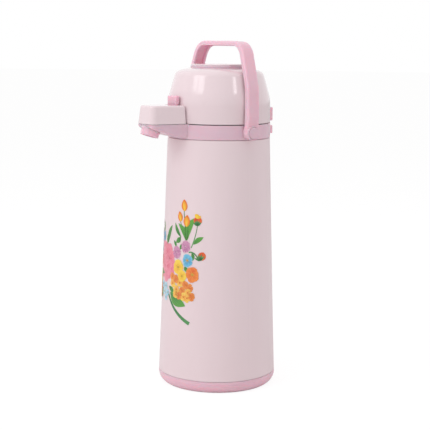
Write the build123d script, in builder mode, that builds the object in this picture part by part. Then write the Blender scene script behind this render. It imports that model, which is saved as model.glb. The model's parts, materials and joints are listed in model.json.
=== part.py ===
"""Pump pot: a glass-lined vacuum pot with a push plate, bellows, spout and bail handle.

Frame: the origin is the centre of the face the pot rests on, +Z is up, the spout
points to -Y, the lid's hinge is at +Y and the handle turns about X. Millimetres.
"""
import os
from math import cos, radians, sin, sqrt, tan

from build123d import *

os.makedirs("parts", exist_ok=True)

# ---------------------------------------------------------------- shared fits
JOINT_GAP = 0.4          # line left where two mouldings meet
FIT_GAP = 0.3            # clearance of a fixed piece in its seat
MOVE_GAP = 0.4           # clearance beside a piece that moves
RUN_GAP = 0.05           # radial clearance of a pin in its bore
SINK = 0.5               # how far a boss or rib is let into its wall
FAR = 200.0              # longer than any cut has to be

# ---------------------------------------------------------------- outer casing
CASING_FOOT_R = 69.0
CASING_TOP_R = 59.7
CASING_BULGE = -0.2       # how far the side stands out of a straight taper; hollow if negative
CASING_FOOT_Z = 14.5
CASING_TOP_Z = 291.0
CASING_WALL = 2.2
CASING_EDGE = 0.9        # rounding of the upper edge

# ---------------------------------------------------------------- base cover
FOOT_RING_R = 62.3       # outer edge of the resting face
FOOT_RING_W = 11.0
FOOT_PAD_R = 22.0        # flush pad in the middle of the underside
BASE_BULGE = 1.6         # roundness of the base's side
BASE_FLOOR = 2.6
FOOT_RECESS = 2.6
BASE_WALL = 2.6
BASE_SPIGOT_H = 10.0
GRIP_W = 12.0            # grip notches used to unscrew the base
GRIP_L = 20.0
GRIP_COUNT = 2

# ---------------------------------------------------------------- flask
FLASK_R = 56.0
FLASK_GAP = 2.3          # vacuum space
FLASK_GLASS = 1.6
FLASK_BOTTOM_Z = 24.0
FLASK_CORNER_R = 18.0
SHOULDER_Z = 250.0
NECK_Z = 276.0
NECK_R = 34.5
RIM_Z = 289.0
TAIL_R = 4.0             # sealed tail of the glass
TAIL_L = 6.0

# ---------------------------------------------------------------- flask support
SUPPORT_R = 46.0
SUPPORT_HOLE_R = 16.0
SUPPORT_WALL = 2.4
CUSHION_R = 40.0
CUSHION_T = 6.0
CUSHION_ROUND = 1.2
GASKET_T = 2.4
GASKET_LIP = 1.5

# ---------------------------------------------------------------- collar
COLLAR_R = 59.9
COLLAR_TOP_Z = 308.0
COLLAR_WALL = 2.2
COLLAR_EDGE = 0.6
SPIGOT_DEPTH = 9.0
SPIGOT_WALL = 2.0
DECK_DROP = 1.6          # deck below the collar's top edge
DECK_T = 2.2
MOUTH_R = 28.0
MOUTH_WALL = 2.2
MOUTH_BEAD_W = 3.4
MOUTH_BEAD_H = 0.8
FUNNEL_FLANGE_R = 35.0

# ---------------------------------------------------------------- spout
SPOUT_FRONT_Y = -102.0
SPOUT_HALF_W = 16.4      # at the front
SPOUT_ROOT_HALF_W = 21.0
SPOUT_TIP_DEPTH = 4.0
SPOUT_TIP_SLOPE = 2.4
SPOUT_MID_Y = -80.0
SPOUT_MID_DEPTH = 11.3
SPOUT_ROOT_DEPTH = 16.6
SPOUT_WALL = 2.2
SPOUT_BELLY_R = 3.6
SPOUT_CORNER_R = 8.0
COVER_BOTTOM_Z = 309.0
COVER_TOP_Z = 329.6
COVER_DRAFT = 1.8        # how much narrower the cover is at the top, each side
COVER_WALL = 2.2
COVER_TOP_ROUND = 3.0
COVER_REAR_ROUND = 2.0
COVER_SCREW_X = 11.0
COVER_SCREW_Y = -77.0
COVER_BOSS_R = 3.2
COVER_SCREW_HEAD_Z = 297.4
COVER_SCREW_L = 17.0
SCREW_PAD_R = 4.0        # thicker floor round a cover screw
SCREW_PAD_H = 3.4

# ---------------------------------------------------------------- nozzle
NOZZLE_Y = -91.2
NOZZLE_TOP_Z = 305.6
NOZZLE_TILT = 18.0
NOZZLE_R = 11.3
NOZZLE_END_R = 10.3
NOZZLE_LENGTH = 11.0
NOZZLE_BAND = 4.2
NOZZLE_TAPER = 2.0       # degrees
NOZZLE_STEP = 0.5
NOZZLE_WALL = 2.0

# ---------------------------------------------------------------- water pipes
PIPE_R = 3.75
PIPE_BORE_R = 2.75
PIPE_Z = 299.0
DIP_TUBE_Y = -20.5
ELBOW_R = 4.9
ELBOW_SOCKET = 12.0
ELBOW_ROUND = 1.5
PIPE_BEND_Y = -60.5
PIPE_CREST_UP = 7.6      # crest of the pipe above the nozzle, along its axis
PIPE_BEND_R = 12.0
PIPE_CREST_R = 7.0
DIP_FOOT_CLEAR = 3.0
DIP_FOOT_H = 9.0
DIP_FOOT_R = 5.6
DIP_NOTCH_W = 2.4
PIPE_SEAL_W = 2.6
PIPE_SEAL_T = 1.1

# ---------------------------------------------------------------- lid
LID_R = 59.5
LID_BOTTOM_Z = 309.0
LID_SKIRT_DRAFT = 0.2    # how much the skirt narrows before it curves in
LID_SKIRT_Z = 328.0
LID_CHEEK_R = 58.7       # a point on the curve between skirt and crease
LID_CHEEK_Z = 337.5
LID_CREASE_R = 57.0
LID_CREASE_Z = 345.0
LID_SHOULDER_R = 50.9
LID_SHOULDER_Z = 366.3
LID_SHOULDER_ROUND = 9.0
LID_CROWN_R = 42.8
LID_CROWN_Z = 369.5
LID_CROWN_ROUND = 30.0
LID_TOP_Z = 371.0
LID_WALL = 2.2
LID_LIP_ROUND = 0.7
WELL_BOTTOM_Z = 350.0
LID_POST_RING_R = 45.5
LID_POST_R = 3.6
LID_POST_TURN = 45.0     # degrees from +X to the first post
LID_POST_TOP_Z = 365.0
LID_SCREWS = 4
LID_BASE_T = 2.4
LID_BASE_LIFT = 0.6      # lid base above the skirt's lower edge
PLUG_R = 26.0
PLUG_DROP = 3.5          # plug below the skirt's lower edge
SEAL_T = 1.9
SEAL_OUTER_R = 33.0
AIR_HOLES = 4
AIR_HOLE_R = 1.2
AIR_HOLE_RING_R = 4.2
FLAP_R = 6.6
FLAP_T = 0.8
STEM_R = 1.2
STEM_HEAD_R = 2.6
STEM_HEAD_T = 1.0

# ---------------------------------------------------------------- push plate and bellows
PLATE_R = 33.0
PLATE_RIM_Z = 374.0
PLATE_TOP_Z = 375.4
PLATE_CAP_R = 32.0
PLATE_WALL = 1.8
PLATE_EDGE = 0.9         # rounding of the plate's visible edges
PLATE_SKIRT_Z = 345.6
PLATE_FLOOR_Z = 368.0
PLATE_FLOOR_T = 2.0
HOOK_OUT = 1.4
HOOK_H = 3.8
HOOK_W = 9.0
HOOK_COUNT = 3
HOOK_TURN = 30.0         # degrees from +X to the first hook
BELLOWS_R = 29.4
BELLOWS_ROOT_R = 24.4
BELLOWS_WALL = 0.8
BELLOWS_FLANGE = 1.4
BELLOWS_FOLDS = 6
SPRING_R = 14.0
SPRING_WIRE_R = 0.8
SPRING_TURNS = 7
SPRING_SEAT_H = 2.5
SPRING_SEAT_R = 12.4
VENT_R = 5.0
VENT_T = 2.2
VENT_STEM_R = 2.0

# ---------------------------------------------------------------- lid hinge
HINGE_Y = 63.0
HINGE_Z = 306.15
HINGE_HALF_W = 18.0
HINGE_REAR_Y = 64.6
HINGE_LID_TOP_Z = 324.8
HINGE_LID_BOTTOM_Z = 308.9
HINGE_BODY_TOP_Z = 303.4
HINGE_BODY_BOTTOM_Z = 293.9
HINGE_ROUND = 1.2
KNUCKLE_R = 2.4
KNUCKLE_MID = 5.0        # half width of the middle knuckle
KNUCKLE_END = 12.0       # outer end of the side knuckles
HINGE_PIN_R = 1.25
HINGE_SCREW_X = 12.0
HINGE_SCREW_Z = 317.0
HINGE_SCREW_END_Y = 63.2

# ---------------------------------------------------------------- handle
PIVOT_Z = 299.6
HANDLE_TILT = 3.25        # the raised handle leans back by this much
HANDLE_W = 16.0
HANDLE_INNER = 62.2      # half span inside the legs at the pivot
HANDLE_KNEE_H = 17.0
HANDLE_WAIST_H = 51.0
HANDLE_WAIST = 58.6
HANDLE_SHOULDER = 41.2
HANDLE_GRIP_H = 97.0
HANDLE_LEG_T = 6.4
HANDLE_GRIP_T = 5.2
HANDLE_KNEE_R = 50.0
HANDLE_WAIST_R = 40.0
HANDLE_CORNER_R = 17.0
HANDLE_ROUND = 2.2
CHANNEL_DEPTH = 3.4
CHANNEL_RIM = 2.0
CHANNEL_START_H = 14.0
PIVOT_RING_R = 8.1
PIVOT_RING_H = 2.0
PIVOT_PIN_R = 3.0
PIVOT_CAP_R = 6.6
PIVOT_CAP_ROUND = 0.6
PIVOT_CAP_T = 2.6
PIVOT_PIN_L = 15.0
PIVOT_BOSS_X = 61.0
WASHER_R = 7.0

# ---------------------------------------------------------------- latch
LATCH_HALF_W = 9.0
LATCH_T = 5.0
LATCH_TOP_Z = 340.0
LATCH_PIVOT_Y = -68.4
LATCH_PIVOT_Z = 312.6
LATCH_SWING = 8.0
LATCH_BARREL_R = 3.3
LATCH_PIN_R = 1.5
LATCH_NOSE_Z = 321.0
LATCH_NOSE_H = 4.0
LATCH_NOSE_HALF_W = 4.5
LATCH_ROUND = 1.2
LATCH_COIL_HALF_W = 2.6
LATCH_WIRE_R = 0.35
LATCH_COILS = 4
LATCH_EAR_T = 2.0

# ---------------------------------------------------------------- screws
SCREW_R = 1.4
SCREW_HEAD_R = 2.6
SCREW_HEAD_H = 1.6
SCREW_L = 9.0
SOCKET_R = 1.1

# ---------------------------------------------------------------- sizes that follow
FLASK_WALL = 2 * FLASK_GLASS + FLASK_GAP
BASE_FLOOR_Z = FOOT_RECESS + BASE_FLOOR
SPIGOT_TOP_Z = CASING_FOOT_Z + BASE_SPIGOT_H
COLLAR_BOTTOM_Z = CASING_TOP_Z + JOINT_GAP
GASKET_TOP_Z = RIM_Z + GASKET_T
DECK_TOP_Z = COLLAR_TOP_Z - DECK_DROP
DECK_Z = DECK_TOP_Z - DECK_T
COLLAR_IN_R = COLLAR_R - COLLAR_WALL
MOUTH_OUT_R = MOUTH_R + MOUTH_WALL
SPOUT_TOP_Z = COVER_BOTTOM_Z - JOINT_GAP
COVER_CLEAR_R = LID_R + 2 * MOVE_GAP
LID_BASE_Z = LID_BOTTOM_Z + LID_BASE_LIFT
LID_BASE_TOP_Z = LID_BASE_Z + LID_BASE_T
PLUG_Z = LID_BOTTOM_Z - PLUG_DROP
WELL_R = PLATE_R + MOVE_GAP
HANDLE_OUTER = HANDLE_INNER + HANDLE_LEG_T
LATCH_REAR_Y = -(LID_R + 2 * MOVE_GAP)
LATCH_FRONT_Y = LATCH_REAR_Y - LATCH_T
DIP_FOOT_Z = FLASK_BOTTOM_Z + FLASK_WALL + DIP_FOOT_CLEAR


def casing_radius(height):
    """Outer radius of the casing at a height."""
    share = (height - CASING_FOOT_Z) / (CASING_TOP_Z - CASING_FOOT_Z)
    taper = CASING_FOOT_R + (CASING_TOP_R - CASING_FOOT_R) * share
    return taper + 4 * CASING_BULGE * share * (1 - share)


# ================================================================ base and casing
CASING_MID_Z = (CASING_FOOT_Z + CASING_TOP_Z) / 2

with BuildPart() as outer_casing:
    with BuildSketch(Plane.XZ) as casing_section:
        with BuildLine() as casing_outline:
            casing_side = ThreePointArc(
                (CASING_FOOT_R, CASING_FOOT_Z),
                (casing_radius(CASING_MID_Z), CASING_MID_Z),
                (CASING_TOP_R, CASING_TOP_Z),
            )
            casing_inside = ThreePointArc(
                (CASING_FOOT_R - CASING_WALL, CASING_FOOT_Z),
                (casing_radius(CASING_MID_Z) - CASING_WALL, CASING_MID_Z),
                (CASING_TOP_R - CASING_WALL, CASING_TOP_Z),
            )
            Line(casing_side @ 0, casing_inside @ 0)
            Line(casing_side @ 1, casing_inside @ 1)
        make_face()
        fillet(casing_section.vertices().group_by(Axis.Y)[-1].sort_by(Axis.X)[-1], CASING_EDGE)
    revolve(axis=Axis.Z)
outer_casing.part.label = "outer_casing"
export_step(outer_casing.part, "parts/outer_casing.step")

BASE_SPIGOT_R = casing_radius(SPIGOT_TOP_Z) - CASING_WALL - FIT_GAP
BASE_TOP_Z = CASING_FOOT_Z - JOINT_GAP
BASE_MID_R = (FOOT_RING_R + CASING_FOOT_R) / 2 + BASE_BULGE

with BuildPart() as base_cover:
    with BuildSketch(Plane.XZ) as base_section:
        with BuildLine() as base_outline:
            base_side = ThreePointArc(
                (FOOT_RING_R, 0),
                (BASE_MID_R, BASE_TOP_Z / 3),
                (CASING_FOOT_R, BASE_TOP_Z),
            )
            Polyline(
                base_side @ 1,
                (BASE_SPIGOT_R, BASE_TOP_Z),
                (BASE_SPIGOT_R, SPIGOT_TOP_Z),
                (BASE_SPIGOT_R - BASE_WALL, SPIGOT_TOP_Z),
                (BASE_SPIGOT_R - BASE_WALL, BASE_FLOOR_Z + BASE_WALL),
                (FOOT_RING_R - BASE_WALL, BASE_FLOOR_Z),
                (0, BASE_FLOOR_Z),
                (0, 0),
                base_side @ 0,
            )
        make_face()
    revolve(axis=Axis.Z)
    with BuildSketch() as recess:
        Circle(FOOT_RING_R - FOOT_RING_W)
        Circle(FOOT_PAD_R, mode=Mode.SUBTRACT)
    extrude(amount=FOOT_RECESS, mode=Mode.SUBTRACT)
    with BuildSketch() as grips:
        with PolarLocations(FOOT_PAD_R, GRIP_COUNT):
            SlotOverall(GRIP_L, GRIP_W)
    extrude(amount=FOOT_RECESS, mode=Mode.SUBTRACT)
base_cover.part.label = "base_cover"
export_step(base_cover.part, "parts/base_cover.step")

# ================================================================ flask and its support
CUSHION_Z = FLASK_BOTTOM_Z - CUSHION_T

with BuildPart() as flask_support:
    with BuildSketch(Plane.XZ) as support_section:
        with BuildLine() as support_outline:
            Polyline(
                (SUPPORT_R - SUPPORT_WALL, BASE_FLOOR_Z),
                (SUPPORT_R, BASE_FLOOR_Z),
                (SUPPORT_R, CUSHION_Z + SUPPORT_WALL),
                (CUSHION_R + FIT_GAP, CUSHION_Z + SUPPORT_WALL),
                (CUSHION_R + FIT_GAP, CUSHION_Z),
                (SUPPORT_HOLE_R, CUSHION_Z),
                (SUPPORT_HOLE_R, CUSHION_Z - SUPPORT_WALL),
                (SUPPORT_R - SUPPORT_WALL, CUSHION_Z - SUPPORT_WALL),
                close=True,
            )
        make_face()
    revolve(axis=Axis.Z)
flask_support.part.label = "flask_support"
export_step(flask_support.part, "parts/flask_support.step")

with BuildPart() as support_cushion:
    with BuildSketch(Plane.XY.offset(CUSHION_Z)) as cushion_ring:
        Circle(CUSHION_R)
        Circle(SUPPORT_HOLE_R + SUPPORT_WALL, mode=Mode.SUBTRACT)
    extrude(amount=CUSHION_T - RUN_GAP)
    fillet(support_cushion.edges().group_by(Axis.Z)[-1], CUSHION_ROUND)
support_cushion.part.label = "support_cushion"
export_step(support_cushion.part, "parts/support_cushion.step")


def bottle_outline(inset, top_z):
    """Closed outline, right of the axis, of the bottle's surface moved inwards by an inset."""
    half_x = (FLASK_R - NECK_R) / 2
    half_z = (NECK_Z - SHOULDER_Z) / 2
    sweep_r = (half_x**2 + half_z**2) / (2 * half_x)
    middle_x = NECK_R + half_x
    middle_z = SHOULDER_Z + half_z
    joint_x = middle_x + inset * (FLASK_R - sweep_r - middle_x) / sweep_r
    joint_z = middle_z + inset * (SHOULDER_Z - middle_z) / sweep_r
    floor_z = FLASK_BOTTOM_Z + inset
    side_r = FLASK_R - inset
    corner_r = FLASK_CORNER_R - inset
    floor = Line((0, floor_z), (side_r - corner_r, floor_z))
    heel = RadiusArc(floor @ 1, (side_r, floor_z + corner_r), -corner_r)
    side = Line(heel @ 1, (side_r, SHOULDER_Z))
    shoulder = TangentArc(side @ 1, (joint_x, joint_z), tangent=(0, 1))
    throat = TangentArc((NECK_R - inset, NECK_Z), shoulder @ 1, tangent=(0, -1))
    neck = Line(throat @ 0, (NECK_R - inset, top_z))
    Polyline(neck @ 1, (0, top_z), floor @ 0)


VACUUM_TOP_Z = RIM_Z - 3 * FLASK_GLASS

with BuildPart() as glass_flask:
    with BuildSketch(Plane.XZ) as flask_outside:
        with BuildLine():
            bottle_outline(0, RIM_Z)
        make_face()
    revolve(axis=Axis.Z)
    with BuildSketch(Plane.XY.offset(FLASK_BOTTOM_Z - TAIL_L)) as tail:
        Circle(TAIL_R)
    extrude(amount=TAIL_L + FLASK_GLASS / 2)
    with BuildSketch(Plane.XZ) as vacuum_space:
        with BuildLine():
            bottle_outline(FLASK_GLASS, VACUUM_TOP_Z)
        make_face()
    revolve(axis=Axis.Z, mode=Mode.SUBTRACT)
    with BuildSketch(Plane.XZ) as inner_bottle:
        with BuildLine():
            bottle_outline(FLASK_WALL - FLASK_GLASS, RIM_Z)
        make_face()
    revolve(axis=Axis.Z)
    with BuildSketch(Plane.XZ) as water_space:
        with BuildLine():
            bottle_outline(FLASK_WALL, RIM_Z)
        make_face()
    revolve(axis=Axis.Z, mode=Mode.SUBTRACT)
glass_flask.part.label = "glass_flask"
export_step(glass_flask.part, "parts/glass_flask.step")

with BuildPart() as neck_gasket:
    with BuildSketch(Plane.XY.offset(RIM_Z + RUN_GAP)) as gasket_ring:
        Circle(FUNNEL_FLANGE_R)
        Circle(MOUTH_R + GASKET_LIP, mode=Mode.SUBTRACT)
    extrude(amount=GASKET_T - 2 * RUN_GAP)
neck_gasket.part.label = "neck_gasket"
export_step(neck_gasket.part, "parts/neck_gasket.step")

# ================================================================ collar with the lower spout
SPIGOT_R = CASING_TOP_R - CASING_WALL - FIT_GAP
LEDGE_TOP_Z = COLLAR_BOTTOM_Z + DECK_T
SPOUT_TIP_Z = SPOUT_TOP_Z - SPOUT_TIP_DEPTH
SPOUT_MID_Z = SPOUT_TOP_Z - SPOUT_MID_DEPTH
SPOUT_ROOT_Z = SPOUT_TOP_Z - SPOUT_ROOT_DEPTH
NOZZLE_DOWN = (0, -sin(radians(NOZZLE_TILT)), -cos(radians(NOZZLE_TILT)))
NOZZLE_PLANE = Plane(origin=(0, NOZZLE_Y, NOZZLE_TOP_Z), x_dir=(1, 0, 0), z_dir=NOZZLE_DOWN)
TONGUE_END = sqrt(COLLAR_IN_R**2 - HINGE_HALF_W**2) - COLLAR_WALL
BOSS_START_X = COLLAR_IN_R - COLLAR_WALL
BOSS_L = PIVOT_BOSS_X - BOSS_START_X
BOSS_MID_X = BOSS_START_X + BOSS_L / 2
SCREW_PAD_Z = COVER_SCREW_HEAD_Z + SCREW_HEAD_H


def spout_outline(inset):
    """Side outline of the lower spout in the YZ plane, drawn smaller by an inset."""
    tip = Line(
        (SPOUT_FRONT_Y + inset, SPOUT_TOP_Z + inset),
        (SPOUT_FRONT_Y + SPOUT_TIP_SLOPE + inset, SPOUT_TIP_Z + inset),
    )
    belly = ThreePointArc(
        tip @ 1,
        (SPOUT_MID_Y, SPOUT_MID_Z + inset),
        (-TONGUE_END, SPOUT_ROOT_Z + inset),
    )
    Polyline(belly @ 1, (-TONGUE_END, SPOUT_TOP_Z + inset), tip @ 0)


def spout_plan(inset, draft):
    """Plan of the spout, wider at its root, moved in by an inset, and by a draft off the root."""
    front_y = SPOUT_FRONT_Y + inset + draft
    root_y = -TONGUE_END - inset
    front_half_w = SPOUT_HALF_W - inset - draft
    root_half_w = SPOUT_ROOT_HALF_W - inset - draft
    Polyline(
        (-front_half_w, front_y),
        (front_half_w, front_y),
        (root_half_w, root_y),
        (-root_half_w, root_y),
        close=True,
    )


COLLAR_MID_R = COLLAR_R - COLLAR_WALL / 2
CORE_CORNER_R = SPOUT_CORNER_R - COVER_WALL
HINGE_KNUCKLE_W = 2 * KNUCKLE_R - 2 * RUN_GAP

with BuildPart() as spout_core:
    with BuildSketch(Plane.YZ) as spout_hollow:
        with BuildLine():
            spout_outline(SPOUT_WALL)
        make_face()
    extrude(amount=SPOUT_ROOT_HALF_W, both=True)
    with BuildSketch(Plane.XY.offset(SPOUT_ROOT_Z)) as core_plan:
        with BuildLine():
            spout_plan(COVER_WALL, 0)
        make_face()
        fillet(core_plan.vertices().group_by(Axis.Y)[0], CORE_CORNER_R)
    extrude(amount=FAR, mode=Mode.INTERSECT)

with BuildPart() as spout_tongue:
    with BuildSketch(Plane.YZ) as spout_side:
        with BuildLine():
            spout_outline(0)
        make_face()
    extrude(amount=SPOUT_ROOT_HALF_W, both=True)
    with BuildSketch(Plane.XY.offset(SPOUT_ROOT_Z - SINK)) as tongue_plan:
        with BuildLine():
            spout_plan(0, 0)
        make_face()
        fillet(tongue_plan.vertices().group_by(Axis.Y)[0], SPOUT_CORNER_R)
    extrude(amount=FAR, mode=Mode.INTERSECT)
    fillet(spout_tongue.faces().sort_by(Axis.Z)[0].edges(), SPOUT_BELLY_R)

with BuildPart() as collar:
    # the lower half of the spout, a hollow tongue that the cover closes from above
    add(spout_tongue.part)
    add(spout_core.part, mode=Mode.SUBTRACT)
    # the lower hinge block
    with BuildSketch(Plane.XZ.offset(-HINGE_REAR_Y)) as hinge_block:
        with Locations((0, (HINGE_BODY_TOP_Z + HINGE_BODY_BOTTOM_Z) / 2)):
            RectangleRounded(2 * HINGE_HALF_W, HINGE_BODY_TOP_Z - HINGE_BODY_BOTTOM_Z, HINGE_ROUND)
    extrude(amount=HINGE_REAR_Y - TONGUE_END)
    # both are cut off inside the ring's wall
    with BuildSketch(Plane.XY.offset(COLLAR_BOTTOM_Z - SPIGOT_DEPTH)) as ring_core:
        Circle(COLLAR_MID_R)
    extrude(amount=FAR, mode=Mode.SUBTRACT)
    # the ring, its ledge and the spigot that enters the casing
    with BuildSketch(Plane.XZ) as ring_section:
        with BuildLine():
            Polyline(
                (SPIGOT_R - SPIGOT_WALL, COLLAR_BOTTOM_Z - SPIGOT_DEPTH),
                (SPIGOT_R, COLLAR_BOTTOM_Z - SPIGOT_DEPTH),
                (SPIGOT_R, COLLAR_BOTTOM_Z),
                (COLLAR_R, COLLAR_BOTTOM_Z),
                (COLLAR_R, COLLAR_TOP_Z),
                (COLLAR_IN_R, COLLAR_TOP_Z),
                (COLLAR_IN_R, DECK_TOP_Z),
                (MOUTH_R + MOUTH_BEAD_W, DECK_TOP_Z),
                (MOUTH_R + MOUTH_BEAD_W, DECK_TOP_Z + MOUTH_BEAD_H),
                (MOUTH_R, DECK_TOP_Z + MOUTH_BEAD_H),
                (MOUTH_R, GASKET_TOP_Z),
                (FUNNEL_FLANGE_R, GASKET_TOP_Z),
                (FUNNEL_FLANGE_R, GASKET_TOP_Z + DECK_T),
                (MOUTH_OUT_R, GASKET_TOP_Z + DECK_T),
                (MOUTH_OUT_R, DECK_Z),
                (COLLAR_IN_R, DECK_Z),
                (COLLAR_IN_R, LEDGE_TOP_Z),
                (SPIGOT_R - SPIGOT_WALL, LEDGE_TOP_Z),
                close=True,
            )
        make_face()
        fillet(ring_section.vertices().group_by(Axis.X)[-1], COLLAR_EDGE)
    revolve(axis=Axis.Z)
    # the passage for the water pipe through the funnel and the ring
    with BuildSketch(Plane.XZ.offset(MOUTH_R - PIPE_SEAL_W)) as pipe_hole:
        with Locations((0, PIPE_Z)):
            Circle(PIPE_R + RUN_GAP)
    extrude(amount=MOUTH_WALL + 2 * PIPE_SEAL_W, mode=Mode.SUBTRACT)
    with BuildSketch(Plane.XZ.offset(COLLAR_IN_R - 2 * SINK)) as ring_window:
        with Locations((0, (SPOUT_ROOT_Z + SPOUT_WALL + DECK_Z) / 2)):
            Rectangle(4 * PIPE_R, DECK_Z - SPOUT_ROOT_Z - SPOUT_WALL)
    extrude(amount=COLLAR_WALL + 4 * SINK, mode=Mode.SUBTRACT)
    # bosses that carry the handle's pins
    with Locations((BOSS_MID_X, 0, PIVOT_Z), (-BOSS_MID_X, 0, PIVOT_Z)):
        Cylinder(PIVOT_RING_R - SINK, BOSS_L, rotation=(0, 90, 0))
    with Locations((BOSS_MID_X, 0, PIVOT_Z), (-BOSS_MID_X, 0, PIVOT_Z)):
        Cylinder(PIVOT_PIN_R + RUN_GAP, 2 * BOSS_L, rotation=(0, 90, 0), mode=Mode.SUBTRACT)
    # the middle knuckle of the hinge
    with BuildSketch(Plane.YZ) as middle_knuckle:
        with Locations((HINGE_Y, HINGE_Z)):
            Circle(KNUCKLE_R)
        with Locations((HINGE_Y, (HINGE_Z + HINGE_BODY_TOP_Z - SINK) / 2)):
            Rectangle(HINGE_KNUCKLE_W, HINGE_Z - HINGE_BODY_TOP_Z + SINK)
    extrude(amount=KNUCKLE_MID, both=True)
    with BuildSketch(Plane.YZ) as hinge_bore:
        with Locations((HINGE_Y, HINGE_Z)):
            Circle(HINGE_PIN_R + RUN_GAP)
    extrude(amount=KNUCKLE_END, both=True, mode=Mode.SUBTRACT)
    # thicker pads in the spout's floor for the cover's screws
    with BuildSketch(Plane.XY.offset(SCREW_PAD_Z)) as screw_pads:
        with Locations((COVER_SCREW_X, COVER_SCREW_Y), (-COVER_SCREW_X, COVER_SCREW_Y)):
            Circle(SCREW_PAD_R)
    extrude(amount=SCREW_PAD_H)
    # the nozzle's opening, and the cover's screw holes with their sunk heads
    with BuildSketch(NOZZLE_PLANE.offset(-NOZZLE_LENGTH)) as nozzle_hole:
        Circle(PIPE_R + FIT_GAP)
    extrude(amount=2 * NOZZLE_LENGTH, mode=Mode.SUBTRACT)
    with BuildSketch(Plane.XY.offset(SPOUT_ROOT_Z)) as screw_holes:
        with Locations((COVER_SCREW_X, COVER_SCREW_Y), (-COVER_SCREW_X, COVER_SCREW_Y)):
            Circle(SCREW_R + RUN_GAP)
    extrude(amount=SPOUT_ROOT_DEPTH, mode=Mode.SUBTRACT)
    with BuildSketch(Plane.XY.offset(COVER_SCREW_HEAD_Z + SCREW_HEAD_H + RUN_GAP)) as head_sinks:
        with Locations((COVER_SCREW_X, COVER_SCREW_Y), (-COVER_SCREW_X, COVER_SCREW_Y)):
            Circle(SCREW_HEAD_R + RUN_GAP)
    extrude(amount=-SPOUT_ROOT_DEPTH, mode=Mode.SUBTRACT)
collar.part.label = "collar"
export_step(collar.part, "parts/collar.step")

# ================================================================ spout cover
EAR_X = LATCH_HALF_W + MOVE_GAP
SLOT_FRONT_Y = LATCH_FRONT_Y - (COVER_TOP_Z - LATCH_PIVOT_Z) * tan(radians(LATCH_SWING)) - MOVE_GAP
COVER_BOSS_Z = SPOUT_TIP_Z + FIT_GAP


with BuildPart() as cover_core:
    with BuildSketch(Plane.XY.offset(COVER_BOTTOM_Z)) as core_bottom:
        with BuildLine():
            spout_plan(COVER_WALL, 0)
        make_face()
        fillet(core_bottom.vertices().group_by(Axis.Y)[0], CORE_CORNER_R)
    with BuildSketch(Plane.XY.offset(COVER_TOP_Z - COVER_WALL)) as core_top:
        with BuildLine():
            spout_plan(COVER_WALL, COVER_DRAFT)
        make_face()
        fillet(core_top.vertices().group_by(Axis.Y)[0], CORE_CORNER_R)
    loft()
    with BuildSketch(Plane.XY.offset(COVER_BOTTOM_Z - SINK)) as core_rear:
        Circle(COVER_CLEAR_R + COVER_WALL)
    extrude(amount=FAR, mode=Mode.SUBTRACT)

with BuildPart() as spout_cover:
    with BuildSketch(Plane.XY.offset(COVER_BOTTOM_Z)) as cover_bottom:
        with BuildLine():
            spout_plan(0, 0)
        make_face()
        fillet(cover_bottom.vertices().group_by(Axis.Y)[0], SPOUT_CORNER_R)
    with BuildSketch(Plane.XY.offset(COVER_TOP_Z)) as cover_top:
        with BuildLine():
            spout_plan(0, COVER_DRAFT)
        make_face()
        fillet(cover_top.vertices().group_by(Axis.Y)[0], SPOUT_CORNER_R)
    loft()
    fillet(spout_cover.faces().sort_by(Axis.Z)[-1].edges(), COVER_TOP_ROUND)
    with BuildSketch(Plane.XY.offset(COVER_BOTTOM_Z - SINK)) as cover_rear:
        Circle(COVER_CLEAR_R)
    extrude(amount=FAR, mode=Mode.SUBTRACT)
    rear_face = spout_cover.faces().filter_by(GeomType.CYLINDER).sort_by(Axis.Y)[-1]
    fillet(rear_face.edges() - rear_face.edges().group_by(Axis.Z)[0], COVER_REAR_ROUND)
    add(cover_core.part, mode=Mode.SUBTRACT)
    # the latch's slot and the two ears that hold its pin
    with BuildSketch(Plane.XY.offset(COVER_BOTTOM_Z - SINK)) as latch_slot:
        with Locations((0, (SLOT_FRONT_Y - TONGUE_END) / 2)):
            Rectangle(2 * EAR_X, -TONGUE_END - SLOT_FRONT_Y)
    extrude(amount=FAR, mode=Mode.SUBTRACT)
    for side in (1, -1):
        with BuildSketch(Plane.YZ.offset(side * EAR_X)) as ear:
            with Locations((LATCH_PIVOT_Y, (LATCH_PIVOT_Z + COVER_TOP_Z - COVER_WALL) / 2)):
                Rectangle(2 * LATCH_BARREL_R, COVER_TOP_Z - COVER_WALL - LATCH_PIVOT_Z + SINK)
            with Locations((LATCH_PIVOT_Y, LATCH_PIVOT_Z)):
                Circle(LATCH_BARREL_R)
                Circle(LATCH_PIN_R + RUN_GAP, mode=Mode.SUBTRACT)
        extrude(amount=side * LATCH_EAR_T)
    # bosses for the screws that come up through the spout's floor
    for side in (1, -1):
        with BuildSketch(Plane.XY.offset(COVER_BOSS_Z)) as cover_boss:
            with Locations((side * COVER_SCREW_X, COVER_SCREW_Y)):
                Circle(COVER_BOSS_R)
                Circle(SCREW_R + RUN_GAP, mode=Mode.SUBTRACT)
        extrude(amount=COVER_TOP_Z - COVER_WALL + SINK - COVER_BOSS_Z)
spout_cover.part.label = "spout_cover"
export_step(spout_cover.part, "parts/spout_cover.step")

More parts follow.
